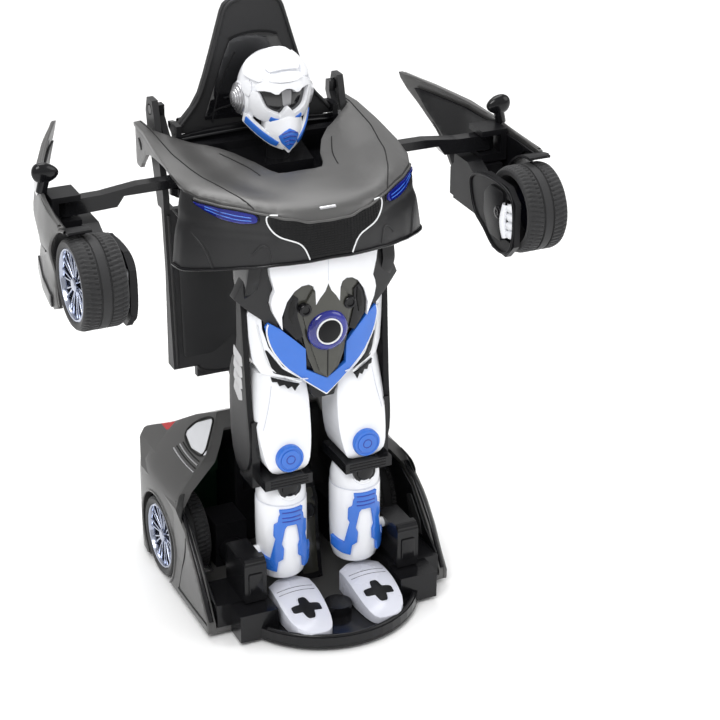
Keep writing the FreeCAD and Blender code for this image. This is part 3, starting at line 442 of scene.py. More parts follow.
def on_face(u, v, w):
    """u runs -1..1 from one rear edge of the bumper to the other, v 0..1 up it, w outward."""
    f = min(1.0, abs(u))
    side = 1 if u >= 0 else -1
    bx, by = along(FACE_BOTTOM, f)
    tx, ty = along(FACE_TOP, f)
    ax, ay = along(FACE_BOTTOM, max(0.0, f - 0.02))
    cx, cy = along(FACE_BOTTOM, min(1.0, f + 0.02))
    run = math.hypot(cx - ax, cy - ay)
    nx, ny = -(ay - cy) / run, (ax - cx) / run
    bulge = 0.7 * math.sin(math.pi * v) - 0.9 * bump_at(v, 0.62, 0.10) * (0 if f < 0.33 else 1) + w
    x = bx + (tx - bx) * v + nx * bulge
    y = by + (ty - by) * v + ny * bulge
    z = face_bottom_z(f) + (face_top_z(f) - face_bottom_z(f)) * v
    return (side * x, y, z)


def face_uv(x, z):
    """Where a frontal point of the bumper lies on its face, from |x| and z."""
    best = 0.0
    for k in range(401):
        f = k / 400
        v = (z - face_bottom_z(f)) / (face_top_z(f) - face_bottom_z(f))
        px = along(FACE_BOTTOM, f)[0] * (1 - v) + along(FACE_TOP, f)[0] * v
        if px >= abs(x):
            best = f
            break
        best = f
    v = (z - face_bottom_z(best)) / (face_top_z(best) - face_bottom_z(best))
    return (best, v)


def face_outline(points, side):
    return [(side * u, min(v, 0.955)) for u, v in (face_uv(x, z) for x, z in points)]


FACE_SCALE = 90.0


def face(u, v, w):
    """Bumper mapping with u stretched so that mesh cells stay square."""
    return on_face(u / FACE_SCALE, v / FACE_SCALE, w)


def grille_point(x, z):
    """Point on the grille's wires, kept below the edge of the hood."""
    u, v = face_uv(x, z)
    return on_face(math.copysign(u, x), min(v, 0.95), 0.42)


def headlamp(word, side):
    """Blue lens in a black bezel, with two lighter blue streaks across it that are painted highlights for the
    lens's reflections.
    """
    lamp = [(35.2, 239.2), (35.8, 243.4), (44, 244.8), (54, 246.4), (63.6, 247.6), (59, 243.2), (52, 239.4),
            (43, 237.6)]
    outline = [(u * FACE_SCALE, v * FACE_SCALE) for u, v in face_outline(round_corners(lamp, 2.0), side)]
    slab("lamp_bezel_" + word, outline, -0.4, 0.5, face, "black", "chest", step=2.5, bevel=0.2)
    centre = (sum(p[0] for p in outline) / len(outline), sum(p[1] for p in outline) / len(outline))
    lens = [(centre[0] + (u - centre[0]) * 0.93, centre[1] + (v - centre[1]) * 0.84) for u, v in outline]
    slab("lamp_lens_" + word, lens, 0.2, 1.3, face, "blue_lens", "chest", step=2.0,
         stands_for=both_in(side, "headlamps"), bevel=0.5, segments=3)
    # Painted highlights: two thin lighter blue tubes on the lens stand in for its reflections; the lamp is
    # not lit.
    for k, share in enumerate((0.34, 0.62)):
        painted_highlight = []
        for x in (39, 44, 49, 54, 58):
            low = lerp_table([(35.2, 239.2), (43, 237.6), (52, 239.4), (59, 243.2), (63.6, 247.6)], x)
            high = lerp_table([(35.8, 243.4), (44, 244.8), (54, 246.4), (63.6, 247.6)], x)
            u, v = face_uv(x, low + (high - low) * share)
            painted_highlight.append(on_face(side * u, v, 1.25))
        tube("lamp_painted_highlight_%s_%d" % (word, k), painted_highlight, 0.28, "blue", "chest")


def bumper_lines(word, side):
    """White line round the grille and the two creases outside it."""
    trim = [(27, 243.3), (31, 243.6), (32.6, 242.0), (32.2, 238.4), (30, 234.4), (26.4, 231.6), (21.5, 229.8),
            (17.0, 228.0), (14.6, 225.2), (13.2, 221.8), (12.0, 218.6)]
    path = [on_face(side * u, v, 0.55) for u, v in (face_uv(x, z) for x, z in trim)]
    tube("grille_trim_" + word, path, 0.42, "trim", "chest")
    crease = [(69, 236), (66, 232), (61, 225), (58.5, 219), (57.5, 212.5)]
    path = [on_face(side * u, v, 0.15) for u, v in (face_uv(x, z) for x, z in crease)]
    tube("bumper_crease_" + word, path, 0.6, "fascia", "chest")
    scoop = [(40, 222), (37.5, 226), (34, 228), (32, 224.5), (31.5, 218.5)]
    path = [on_face(side * u, v, 0.1) for u, v in (face_uv(x, z) for x, z in scoop)]
    tube("bumper_scoop_" + word, path, 0.5, "fascia", "chest")


def grille():
    """Wire mesh over a dark back."""
    grille_half = [(0, 241.4), (24, 241.8), (31.6, 242.4), (31.8, 238), (28, 232.6), (18, 228.4), (14, 224.4),
                   (12, 218.8), (0, 218.8)]
    mesh_area = [(u * FACE_SCALE, v * FACE_SCALE) for u, v in face_outline(grille_half, 1)]
    mesh_area += [(-u, v) for u, v in mesh_area[::-1]][1:-1]
    slab("grille_back", mesh_area, 0.0, 0.30, face, "seam", "chest", step=3.0, stands_for=["grille"])
    for k in range(16):
        z = 220.2 + k * 1.34
        reach = lerp_table([(218.8, 12.2), (224.4, 14), (228.4, 18), (232.6, 27.8), (238, 31.4),
                            (243, 31.4)], z) - 1.0
        path = [grille_point(reach * (i / 7 - 1), z) for i in range(15)]
        tube("grille_row_%02d" % k, path, 0.22, "inner", "chest")
    for k in range(-16, 17):
        x = k * 1.88
        low = lerp_table([(0, 219.2), (12, 219.2), (14, 224.4), (18, 228.4), (27.8, 232.6), (31, 238)],
                         abs(x)) + 0.6
        path = [grille_point(x, low + (240.8 - low) * i / 4) for i in range(5)]
        tube("grille_bar_%02d" % (k + 16), path, 0.22, "inner", "chest")


def bumper():
    whole = [(-0.93, 0), (-0.3, 0), (0.3, 0), (0.93, 0), (0.93, 1), (-0.93, 1)]
    slab("bumper_skin", [(u * FACE_SCALE, v * FACE_SCALE * 0.999) for u, v in whole], -1.6, 0, face,
         "fascia", "chest", step=3.0, stands_for=["bumper"], bevel=0.5, bevel_angle=55, sharp=50)
    for word, side in SIDES:
        headlamp(word, side)
        bumper_lines(word, side)
    nose = [on_face(k / 24 * 0.8, 0.975, 0.25) for k in range(-24, 25)]
    tube("hood_lip", nose, 0.75, "hood", "chest")
    lip = [on_face(k / 24 * 0.92, 0.01, 0.5) for k in range(-24, 25)]
    tube("bumper_lip", lip, 0.9, "black", "chest")
    grille()


# ---------------------------------------------------------------- roof and windscreen

def on_roof(u, v, w):
    """Panel facing forward, hollow towards the middle."""
    return (u, 56.4 + 1.6 * (1 - min(1.0, abs(u) / 44)) - w, v)


def roof():
    """Roof panel with its windscreen, the cowl below it and the wipers."""
    half = [(0, 330), (9, 330), (13.4, 329.2), (16.6, 326.8), (18.4, 323), (20.2, 317), (24.4, 303),
            (28.8, 289), (32.4, 279), (37, 271.6), (46, 262), (46, 257.6), (0, 257.6)]
    slab("roof_shell", both_halves(half), -3.4, 0, on_roof, "fascia", "roof", step=4, bevel=0.9,
         bevel_angle=45, segments=3, stands_for=["roof_panel"])
    tube("roof_knuckle", [(-43, 62, 262), (0, 62, 262), (43, 62, 262)], 3.0, "inner", "roof")
    for k, z in enumerate((274, 284, 294, 304, 314)):
        reach = 24 - 2.6 * k
        back = [(x, 60.4 + 1.6 * (1 - abs(x) / 44),
                 z + 0.01 * x * x) for x in (-reach, -reach / 2, 0, reach / 2, reach)]
        tube("roof_back_rib_%d" % k, back, 0.7, "inner", "roof")
    rim = half[1:11]
    for word, side in SIDES:
        path = [on_roof(side * (x - 1.0), z - 0.8, 0.5) for x, z in rim]
        tube("roof_rim_" + word, path, 1.0, "fascia", "roof")
        pillar = [on_roof(side * x, z, 0.7) for x, z in ((11, 300), (17, 290), (22, 277), (25, 262))]
        tube("pillar_line_" + word, pillar, 0.5, "inner", "roof")
    screen = [(0, 309.5), (9, 308.8), (14, 306.5), (17, 300), (25, 278), (30, 264), (0, 262)]
    slab("windscreen_glass", round_corners(both_halves(screen), 1.5), 0.2, 0.8, on_roof, "glass", "roof",
         step=4, bevel=0.25, stands_for=["windscreen"])

    def cowl(u, v, w):
        return (u, 52.6 - w + 0.0016 * u * u, v)
    shelf = [(0, 261.2), (14, 260.8), (30, 259.4), (46, 257), (49, 250), (49, 241), (0, 241)]
    slab("cowl_panel", both_halves(shelf), -1.4, 1.0, cowl, "black", "chest", step=4, bevel=0.6)
    for k, drop in enumerate((0, 5.5)):
        path = [cowl(x, 257.5 - drop - 0.0013 * x * x, 1.4) for x in range(-44, 45, 8)]
        tube("cowl_ridge_%d" % k, path, 1.1, "black", "chest")
    arc = [on_roof(x, 309.8 - 0.012 * x * x, 0.9) for x in range(-14, 15, 2)]
    tube("windscreen_edge", arc, 0.45, "inner", "roof")
    for k, reach in enumerate((24, 18)):
        path = [on_roof(x, 268 + 5 * k + 3.5 * math.cos(x / 16), 1.0) for x in range(-reach, reach + 1, 4)]
        tube("wiper_%d" % k, path, 0.55, "inner", "roof")


# ---------------------------------------------------------------- head

HEAD = Vector((0, 30.0, 285.5))


def on_head(u, v, w):
    """u is degrees round from straight ahead, v degrees up, w outward."""
    a, e = math.radians(u), math.radians(v)
    lobes = 0.5 * math.cos(3 * a) * max(0.0, math.sin(e)) ** 2 * math.cos(e)
    rx, ry, rz = 19.5, 20.5, 22.6
    shape = 1.0 + 0.02 * lobes
    x = (rx * shape + w) * math.cos(e) * math.sin(a)
    y = -(ry * shape + w) * math.cos(e) * math.cos(a)
    z = (rz * shape + w) * math.sin(e)
    return (HEAD.x + x, HEAD.y + y, HEAD.z + z)


def head():
    shell = [(-180, -32), (-120, -40), (-62, -30), (-52, -8), (-48, 14), (-30, 20), (0, 17), (30, 20),
             (48, 14), (52, -8), (62, -30), (120, -40), (180, -32), (180, 89.5), (-180, 89.5)]
    slab("helmet_shell", shell, -2.4, 0, on_head, "white", "head", step=7.5, stands_for=["helmet"], bevel=0.4,
         bevel_angle=60, sharp=60)
    crown()
    brow = [(-52, 13), (-30, 15), (-16, 9), (-9, 15), (0, 17), (9, 15), (16, 9), (30, 15), (52, 13), (50, 22),
            (36, 28), (18, 25), (0, 24), (-18, 25), (-36, 28), (-50, 22)]
    slab("brow_guard", smooth_outline(brow, 1), -1.5, 1.6, on_head, "white", "head", step=5, bevel=0.6,
         segments=3)
    peak = [(-34, 27), (-16, 25), (0, 24.5), (16, 25), (34, 27), (26, 34), (12, 37), (0, 38), (-12, 37),
            (-26, 34)]
    slab("brow_peak", smooth_outline(peak, 1), -1.0, 2.6, on_head, "white", "head", step=5, bevel=1.2,
         segments=3)
    slab("visor_band", round_corners([(-50, -18), (50, -18), (50, 18), (-50, 18)], 6), -4.0, -1.4, on_head,
         "glass", "head", step=6, bevel=0.4)
    slab("visor_bridge", round_corners([(-7, -8), (7, -8), (9, 15), (-9, 15)], 3), -1.6, -0.7, on_head,
         "steel", "head", step=4, bevel=0.3)
    for word, side in SIDES:
        half_face(word, side)
    nose = [(-9, -17), (-4, -10), (0, -7), (4, -10), (9, -17), (15, -22), (9, -27), (-9, -27), (-15, -22)]
    slab("nose_guard", smooth_outline(nose, 1), -1.5, 2.0, on_head, "white", "head", step=4, bevel=0.8,
         segments=3)

    def chin(u, v, w):
        return (u, 6.4 + 0.07 * u * u + 0.20 * abs(v - 268) - w, v)
    muzzle = [(-10.4, 273.6), (-4, 275.6), (0, 277), (4, 275.6), (10.4, 273.6), (10.8, 269.5), (7.2, 264.5),
              (0, 256.2), (-7.2, 264.5), (-10.8, 269.5)]
    slab("mouth_guard", round_corners(muzzle, 1.0), -6, 0, chin, "white", "head", step=2.5, bevel=0.6,
         segments=3)
    grille = [(-5.8, 266.6), (-3, 269.4), (0, 271.0), (3, 269.4), (5.8, 266.6), (4.2, 262.8), (0, 258.4),
              (-4.2, 262.8)]
    slab("chin_grille", round_corners(grille, 0.6), -0.5, 0.9, chin, "blue", "head", step=2.5, bevel=0.25)
    for k in range(4):
        z = 261.8 + 2.1 * k
        reach = 2.0 + 0.85 * k
        path = [chin(x, z + 0.35 * (reach - abs(x)), 1.05) for x in (-reach, -reach / 2, 0, reach / 2, reach)]
        tube("chin_rib_%d" % k, path, 0.32, "deep_blue", "head")


def crown():
    """Three raised lobes over the top of the helmet, with stepped edges."""
    def lobe(name, corners, lift):
        slab(name, smooth_outline(corners, 1), -1.0, lift, on_head, "white", "head", step=6, bevel=1.0,
             segments=3, sharp=75)
    lobe("crown_lobe_0", [(-34, 38), (-14, 41), (0, 42), (14, 41), (34, 38), (52, 58), (70, 78), (0, 84),
                          (-70, 78), (-52, 58)], 2.6)
    for word, side in SIDES:
        lobe("crown_side_" + word, flip([(40, 24), (62, 27), (84, 30), (98, 44), (92, 60), (66, 62), (50, 48),
                                         (40, 34)], side), 1.9)
        lobe("crown_temple_" + word, flip([(58, 4), (74, 6), (82, 20), (70, 26), (58, 22)], side), 1.3)


def half_face(word, side):
    cheek = [(12, -19), (22, -16), (34, -10), (39, 0), (45, 12), (57, 14), (62, -4), (58, -22), (44, -30),
             (24, -30), (12, -25)]
    slab("cheek_" + word, flip(smooth_outline(cheek, 1), side), -1.5, 1.0, on_head, "white", "head", step=5,
         bevel=0.5, segments=3, stands_for=both_in(side, "face_mask"))
    mark = [(12, -25), (20, -24), (27, -21), (30, -27), (22, -32), (14, -32)]
    slab("cheek_mark_" + word, flip(mark, side), 0.2, 1.7, on_head, "blue", "head", step=5, bevel=0.25)
    start, end = Vector((18.4, 25.0, 273.2)), Vector((3.0, 8.2, 261.2))
    run = (end - start).normalized()
    across = Vector((0.0, -0.35, 0.94))
    across = (across - run * across.dot(run)).normalized()
    outward = across.cross(run)
    if outward.y > 0:
        outward = -outward

    def strap(u, v, w):
        bow = 1.6 * math.sin(math.pi * min(1.0, max(0.0, u / 26)))
        p = start + run * u + across * v + outward * (w + bow)
        return (side * p.x, p.y, p.z)
    slab("jaw_strap_edge_" + word, round_corners([(-2, 3.4), (26.5, 1.6), (26.5, -3.0), (20, -4.2),
                                                  (-1, -2.6)], 1.0), -1.6, 0.0, strap, "white", "head",
         step=3, bevel=0.4)
    slab("jaw_strap_" + word, round_corners([(0, 2.2), (23, 0.9), (22.5, -2.2), (19, -2.9), (0.6, -1.6)],
                                            0.6), -0.4, 0.7, strap, "blue", "head", step=3, bevel=0.3,
         stands_for=both_in(side, "jaw_guard"))
    lathe("ear_disc_" + word, [(0.3, 0), (7.6, 0), (8.4, 0.8), (8.4, 1.6), (6.9, 1.8), (6.9, 2.6), (5.6, 2.8),
                               (5.6, 3.4), (4.4, 3.6), (4.4, 4.2), (0.3, 4.4)],
          lambda a, b, c: (side * (18.6 + c), 31 + a, 283.0 + b), "silver", "head", steps=40,
          stands_for=both_in(side, "ear_discs"), bevel=0.2, bevel_angle=50)
    lathe("ear_pad_" + word, [(0.3, 0), (9.8, 0), (9.8, 1.6), (8.6, 2.6), (0.3, 2.8)],
          lambda a, b, c: (side * (16.4 + c), 31 + a, 283.0 + b), "white", "head", steps=40, bevel=0.3)
    tube("ear_post_" + word, [(side * 17.5, 27, 275), (side * 16.0, 24, 268), (side * 10, 24, 262)], 1.6,
         "inner", "head")


# ---------------------------------------------------------------- torso

def on_torso(u, v, w):
    """Front of the torso: proudest in the middle, falling back to the sides."""
    return (u, -41.2 + 5.6 * (abs(u) / 30) ** 1.7 + 0.02 * max(0.0, 186 - v) - w, v)


TORSO_REAR = -15.0
HUB_RADIUS = 7.5
CHEST_PIVOT = (-12.0, 235.0)


def torso_block():
    """Black body behind the breastplate, its neck step and the hub that carries the chest."""
    def block(u, v, w):
        front = on_torso(u, v, -2.2)[1] + 0.8 * max(0.0, v - 208)
        return (u, front + (TORSO_REAR - front) * -w / 24.0, v)
    half = [(0, 132), (6, 132), (13, 152.4), (13.5, 155.6), (30.4, 168), (34.6, 190), (36.4, 206),
            (33, 214), (28, 226), (0, 226)]
    slab("torso_block", both_halves(half), -24, 0, block, "black", "legs", step=4, bevel=0.9, segments=3,
         stands_for=["torso_core"])
    slab("torso_neck", [(-19.4, 222), (-19.4, 234), (-6, 234), (-14, 222)], -28, 28, lambda u, v,
         w: (w, u, v), "inner", "legs", step=4, bevel=0.8)
    lathe("torso_hub", [(0.3, -28), (HUB_RADIUS - 0.6, -28), (HUB_RADIUS, -27.2), (HUB_RADIUS, 27.2),
                        (HUB_RADIUS - 0.6, 28), (0.3, 28)],
          lambda a, b, c: (c, CHEST_PIVOT[0] + a, CHEST_PIVOT[1] + b), "inner", "legs", steps=40)
    for k in range(5):
        z = 160 + 12 * k
        tube("torso_back_rib_%d" % k, [(-26, TORSO_REAR + 0.2, z), (0, TORSO_REAR + 0.2, z),
                                       (26, TORSO_REAR + 0.2, z)], 0.7, "inner", "legs")


def torso_front():
    """White breastplate over the dark belly."""
    half = [(0, 216.5), (31.6, 216.5), (30.6, 208), (28.4, 199.5), (29.8, 196), (30.5, 192), (29.4, 187),
            (24.6, 176.8), (25, 184.5), (22.4, 193), (18.4, 198.9), (14.6, 201.6), (11, 202.2),
            (8.4, 200.8), (7.2, 197.6), (6.9, 189.8), (4.6, 193.6), (1.8, 197.0), (0, 201.4)]
    slab("chest_plate", both_halves(half), -1.0, 2.6, on_torso, "white", "legs", step=3.0,
         stands_for=["breastplate"], bevel=0.9, bevel_angle=45, segments=3, sharp=50)
    plate = [(0, 141.5), (5.4, 145.5), (10.4, 158), (13, 170), (20, 184), (28, 200), (28, 210), (0, 210)]
    slab("belly_plate", both_halves(plate), -2.0, 0.6, on_torso, "olive", "legs", step=3.0,
         stands_for=["abdomen"], bevel=0.5)
    keel = [(0, 145.5), (4.4, 150), (8.6, 163), (12, 176), (14.5, 187), (9, 197), (0, 202)]
    slab("belly_keel", both_halves(keel), 0.0, 2.4, on_torso, "olive", "legs", step=3.0, bevel=1.4,
         segments=2, sharp=25)
    tube("keel_line", [on_torso(0.0, z, 2.5) for z in (146.6, 152, 158, 163)], 0.3, "seam", "legs")
    tube("chest_line", [on_torso(0, z, 2.62) for z in (203, 207, 211, 216)], 0.16, "foot", "legs")


def torso_side(word, side):
    """Outer wing, belly facet with its slot, raised post and the belt's white edge."""
    wing = [(29, 216), (40, 216), (42.4, 206), (47.6, 194), (40, 186.6), (33, 181), (25.2, 176.4), (28, 186),
            (31, 192), (29, 199)]
    slab("torso_wing_" + word, flip(wing, side), -7.0, -0.6, on_torso, "fascia", "legs", step=3.5, bevel=1.0,
         segments=3)
    cheek = [(13.5, 172), (17, 170), (24, 179), (23.4, 190), (20, 197), (16, 194), (16.5, 184)]
    slab("belly_facet_" + word, flip(cheek, side), 0.0, 1.4, on_torso, "black", "legs", step=3.0, bevel=0.7)
    vent = [(19.6, 180), (21.4, 184), (20.4, 191.4), (18.4, 195), (18.0, 188)]
    slab("belly_slot_" + word, flip(vent, side), 1.2, 1.9, on_torso, "seam", "legs", step=3.0, bevel=0.2)
    post = on_torso(side * 12.9, 187.8, 0)
    lathe("belly_post_" + word, [(0.2, -1), (3.5, -1), (3.5, 3.6), (3.0, 4.2), (2.1, 4.2), (2.0, 3.2),
                                 (0.2, 3.2)], lambda a, b, c: (post[0] + a, post[1] - c, post[2] + b),
          "black", "legs", steps=28, bevel=0.2, stands_for=both_in(side, "torso_screws"))
    belt_edge = [(31.4, 180), (32.9, 177), (30.4, 166), (23.4, 154.4), (11, 144.0), (0, 135.3)]
    tube("belt_edge_" + word, [on_torso(side * x, z, 1.1) for x, z in belt_edge], 0.5, "trim", "legs")


def belt():
    """Blue pointed belt below the belly."""
    band = [(0, 135.5), (11, 144.3), (23, 154.6), (30, 166), (32.6, 177.6), (31.0, 180.6), (25.5, 177),
            (16.6, 168.6), (12, 164), (11.6, 151.5), (0, 145.0)]
    slab("belt_band", both_halves(band), -1.6, 1.4, on_torso, "blue", "legs", step=3.0, stands_for=["belt"],
         bevel=0.6, segments=3, sharp=40)


def belly_light():
    """Blue ring, white ring and dark button."""
    centre = on_torso(0, 174, 0)

    def ring(a, b, c):
        return (centre[0] + a, centre[1] - 1.6 - c, 174 + b)
    lathe("belly_ring_lens", [(7.5, -1.5), (11.6, -1.5), (11.6, 0.6), (10.8, 2.1), (9.0, 2.9), (7.5, 2.7)],
          ring, "blue_lens", "legs", steps=64, stands_for=["belly_ring"], bevel=0.3, bevel_angle=50)
    lathe("belly_ring_seat", [(0.2, -1.8), (12.2, -1.8), (12.2, -0.4), (0.2, -0.4)], ring, "inner", "legs",
          steps=64, bevel=0.3)
    lathe("belly_white_ring", [(6.7, -0.5), (7.5, -0.5), (7.5, 3.1), (7.3, 3.4), (6.9, 3.4), (6.7, 3.1)],
          ring, "trim", "legs", steps=56, bevel=0.15, bevel_angle=50)
    lathe("belly_button", [(0.2, -0.5), (6.7, -0.5), (6.7, 2.6), (6.0, 3.0), (0.2, 3.3)], ring, "inner",
          "legs", steps=56, stands_for=["belly_disc"], bevel=0.2, bevel_angle=50)


def torso_flank(word, side):
    """Black shoulder piece beside the breastplate."""
    def flank(u, v, w):
        return (side * (36.5 + w + 1.5 * math.sin((v - 188) / 28 * math.pi)), u, v)
    wing = [(-36, 216), (-35.4, 206), (-31.5, 196), (-28, 190.6), (-18, 190.6), (-15.6, 200), (-15.6, 216)]
    slab("torso_flank_" + word, round_corners(wing, 2), -2, 5.0, flank, "black", "legs", step=4,
         stands_for=both_in(side, "torso_sides"), bevel=1.0, segments=3)


def hip_plate(word, side):
    """White hip with a black inset, a white frame line and a toothed lower edge."""
    hip_outline = [(11, 146.6), (18, 147.4), (34, 149.4), (37.6, 156), (39.2, 170), (39.6, 184), (36.6, 188),
                   (33.6, 181), (33.4, 176), (30.6, 165.6), (24.2, 154.8), (14, 146.6)]

    def hip(u, v, w):
        front = -42.4 + 15.0 * (abs(u) / 38) ** 2.4
        return (u, max(front, -15.0) if w < -10 else front - w, v)
    slab("hip_shell_" + word, flip(hip_outline, side), -19, 0.6, hip, "white", "legs", step=4,
         stands_for=both_in(side, "hip_plates"), bevel=1.6, segments=3, sharp=50)
    inset = [(15.2, 147.2), (28.6, 150.6), (32.4, 163.6), (31.4, 163.8), (24.4, 153.4)]
    slab("hip_inset_" + word, flip(round_corners(inset, 0.6), side), 0.4, 1.0, hip, "inner", "legs", step=3,
         bevel=0.2)
    frame_path = [(15, 145.6), (29.4, 149.4), (33.6, 164.4), (35.6, 178)]
    tube("hip_frame_" + word, [hip(side * x, z, 1.0) for x, z in frame_path], 0.5, "trim", "legs")
    teeth = [(16, 144.4), (29.8, 148.0), (29.4, 145.4), (27, 145.6), (26, 143.2), (23.6, 144.2), (22, 141.8),
             (20, 143.2), (18.4, 140.4), (17.4, 142.6)]
    slab("hip_teeth_" + word, flip(teeth, side), 0.2, 1.4, hip, "inner", "legs", step=3, bevel=0.15)


def torso():
    torso_block()
    torso_front()
    for word, side in SIDES:
        torso_side(word, side)
    belt()
    belly_light()
    for word, side in SIDES:
        torso_flank(word, side)
        hip_plate(word, side)


# ---------------------------------------------------------------- legs

LEG_X = 22.5
LEG_Y = -29.4
SHIN_RADIUS = 14.3
SHIN_BOTTOM = 24
KNEE_Z = 82.4
NOTCH_Z = 82.6
NOTCH_RADIUS = 6.9


def leg_cylinder(side, radius):
    """Shin surface: u is the way round in mm from straight ahead, outward on the robot's own side."""
    def mapping(u, v, w):
        a = u / radius
        waist = 0.5 * math.sin((v - SHIN_BOTTOM) / 60 * math.pi)
        r = radius + waist + w
        return (side * (LEG_X + r * math.sin(a)), LEG_Y - r * math.cos(a), v)
    return mapping


def shin(word, side):
    """Round shin with a notch for the knee hinge."""
    cx = side * LEG_X

    def can(a, b, c):
        return (cx + a, LEG_Y + b, c)
    profile = [(0.3, 23.8), (9.4, 23.8), (11.2, 24.4), (12.6, 26.0), (13.1, 28.5), (13.6, 29.6), (14.0, 36),
               (14.4, 48), (14.5, 60), (14.4, 70.6), (14.1, 71.4), (13.9, 71.8), (13.9, 72.4), (14.1, 72.9),
               (13.9, 77.5), (12.9, 81.6), (12.0, 82.9), (11.2, 83.2), (0.3, 83.2)]
    bm = lathe_mesh(profile, 64, can)
    cutter = lathe_mesh([(0.2, -60), (NOTCH_RADIUS, -60), (NOTCH_RADIUS, -12), (0.2, -12)], 32,
                        lambda a, b, c: (cx + a, c, NOTCH_Z + b))
    shin = finish_piece("shin_shell_" + word, bm, "white", "legs",
                        stands_for=both_in(side, "shins"), sharp=55)
    tool_mesh = bpy.data.meshes.new("notch_tool_" + word)
    cutter.to_mesh(tool_mesh)
    cutter.free()
    tool = bpy.data.objects.new("notch_tool_" + word, tool_mesh)
    bpy.context.scene.collection.objects.link(tool)
    notch = shin.modifiers.new("notch", "BOOLEAN")
    notch.object = tool
    notch.solver = "EXACT"
    bpy.context.view_layer.update()
    done = bpy.data.meshes.new_from_object(shin.evaluated_get(bpy.context.evaluated_depsgraph_get()))
    shin.modifiers.clear()
    shin.data = done
    done.materials.clear()
    done.materials.append(MATS["white"])
    done.shade_smooth()
    done.set_sharp_from_angle(angle=math.radians(40))
    bpy.data.objects.remove(tool)


def shin_plate(word, side):
    """Blue armour wrapped round the shin, with its ribs, the notch's rim and the seam."""
    wrap = leg_cylinder(side, SHIN_RADIUS)
    half = [(0, 70.4), (6.6, 70.4), (6.2, 67.4), (7.0, 66.0), (7.4, 62.4), (9.4, 61.0), (9.6, 54.2),
            (8.6, 52.4), (11.6, 38.4), (20.5, 40.6), (20.5, 34.4), (12.4, 31.6), (8.0, 31.0), (7.2, 37.4),
            (4.6, 39.4), (4.2, 46), (5.4, 48.6), (3.6, 58.6), (2.4, 60.4), (0, 60.4)]
    slab("shin_armour_" + word + "_plate", both_halves(half), -0.6, 1.2,
         wrap, "blue", "legs", step=2.5, stands_for=both_in(side, "shin_armour"), bevel=0.35,
         segments=2, sharp=35)
    for k, z in enumerate((68.6, 65.4, 63.0)):
        tube("armour_rib_%s_%d" % (word, k), [wrap(u, z, 1.2) for u in (-5, -2.5, 0, 2.5, 5)], 0.38,
             "deep_blue", "legs")
    notch_rim = []
    for degrees in range(-64, 65, 8):
        angle = math.radians(degrees)
        across = NOTCH_RADIUS * math.sin(angle)
        notch_rim.append(wrap(SHIN_RADIUS * math.asin(across / SHIN_RADIUS),
                              NOTCH_Z - NOTCH_RADIUS * math.cos(angle), -0.45))
    tube("notch_rim_" + word, notch_rim, 0.7, "white", "legs")
    ring = [wrap(u * 2 * math.pi * SHIN_RADIUS / 40, 72.1, -0.55) for u in range(40)]
    tube("shin_seam_" + word, ring, 0.35, "foot", "legs", closed=True)


def thigh_shell(word, side):
    """White thigh, flat at the back and rounded in front, with its moulding line."""
    front = [(14, 91.4), (22, 90.8), (31, 91.6), (35.4, 97), (38.2, 110), (40.4, 126), (40.8, 142),
             (38, 150.6), (15.6, 150.4), (11.0, 138), (9.4, 120), (9.2, 108), (10.8, 96)]

    def thigh(u, v, w):
        x = abs(u)
        rise = min(1.0, max(0.0, (v - 96) / 54))
        share = (x - 24.0) / 16.0
        back = 11.0 * share ** 2.6 if share > 0 else 5.0 * abs(share) ** 4
        face = -43.6 + 7.5 * rise + back * (0.35 + 0.65 * rise) + 0.05 * max(0.0, 99 - v) ** 2
        rear = -16.6
        depth = min(1.0, -w / 26.0)
        sign = 1 if u >= 0 else -1
        return (sign * (x - 3.0 * rise), face + (rear - face) * depth - max(0.0, w), v)
    slab("thigh_shell_" + word, flip(smooth_outline(front, 1), side), -26, 0, thigh, "white", "legs",
         step=3.0, stands_for=both_in(side, "thighs"), bevel=3.0, bevel_angle=50, segments=4, sharp=60)
    line = [(36.6, 118), (33.5, 131), (32.4, 143)]
    tube("thigh_seam_" + word, [thigh(side * x, z, 0.02) for x, z in line], 0.22, "foot", "legs")


def knee(word, side):
    """Blue cap, rails of the bracket and the hinge's end."""
    cap = (side * 22.9, -43.4, 101.4)

    def cap_map(a, b, c):
        return (cap[0] + a, cap[1] - c, cap[2] + b)
    lathe("knee_cap_" + word + "_disc", [(0.3, -2), (7.9, -2), (7.9, 1.2), (7.4, 1.9), (6.5, 2.1),
                                         (6.3, 1.6), (5.6, 1.5), (5.4, 1.9), (0.3, 2.2)], cap_map, "blue",
          "legs", steps=48, stands_for=both_in(side, "knee_caps"))
    hexagon = [(2.8 * math.cos(t), 2.8 * math.sin(t)) for t in [math.pi * k / 3 for k in range(6)]]
    tube("knee_cap_" + word + "_line", [cap_map(a, b, 2.1) for a, b in hexagon], 0.28, "deep_blue", "legs",
         closed=True)
    for k, z in enumerate((85.8, 87.6, 89.4)):
        low, high = sorted((side * 12.6, side * 34.4))
        tube("knee_rail_%s_%d" % (word, k), [(low, -44.8, z), (high, -44.8, z)], 0.6, "black", "legs")
    lathe("knee_hinge_" + word, [(0.3, -0.4), (4.6, -0.4), (4.6, 0.6), (3.8, 1.2), (0.3, 1.4)],
          lambda a, b, c: (side * LEG_X + a, -43 - c, KNEE_Z + b), "black", "legs", steps=32)


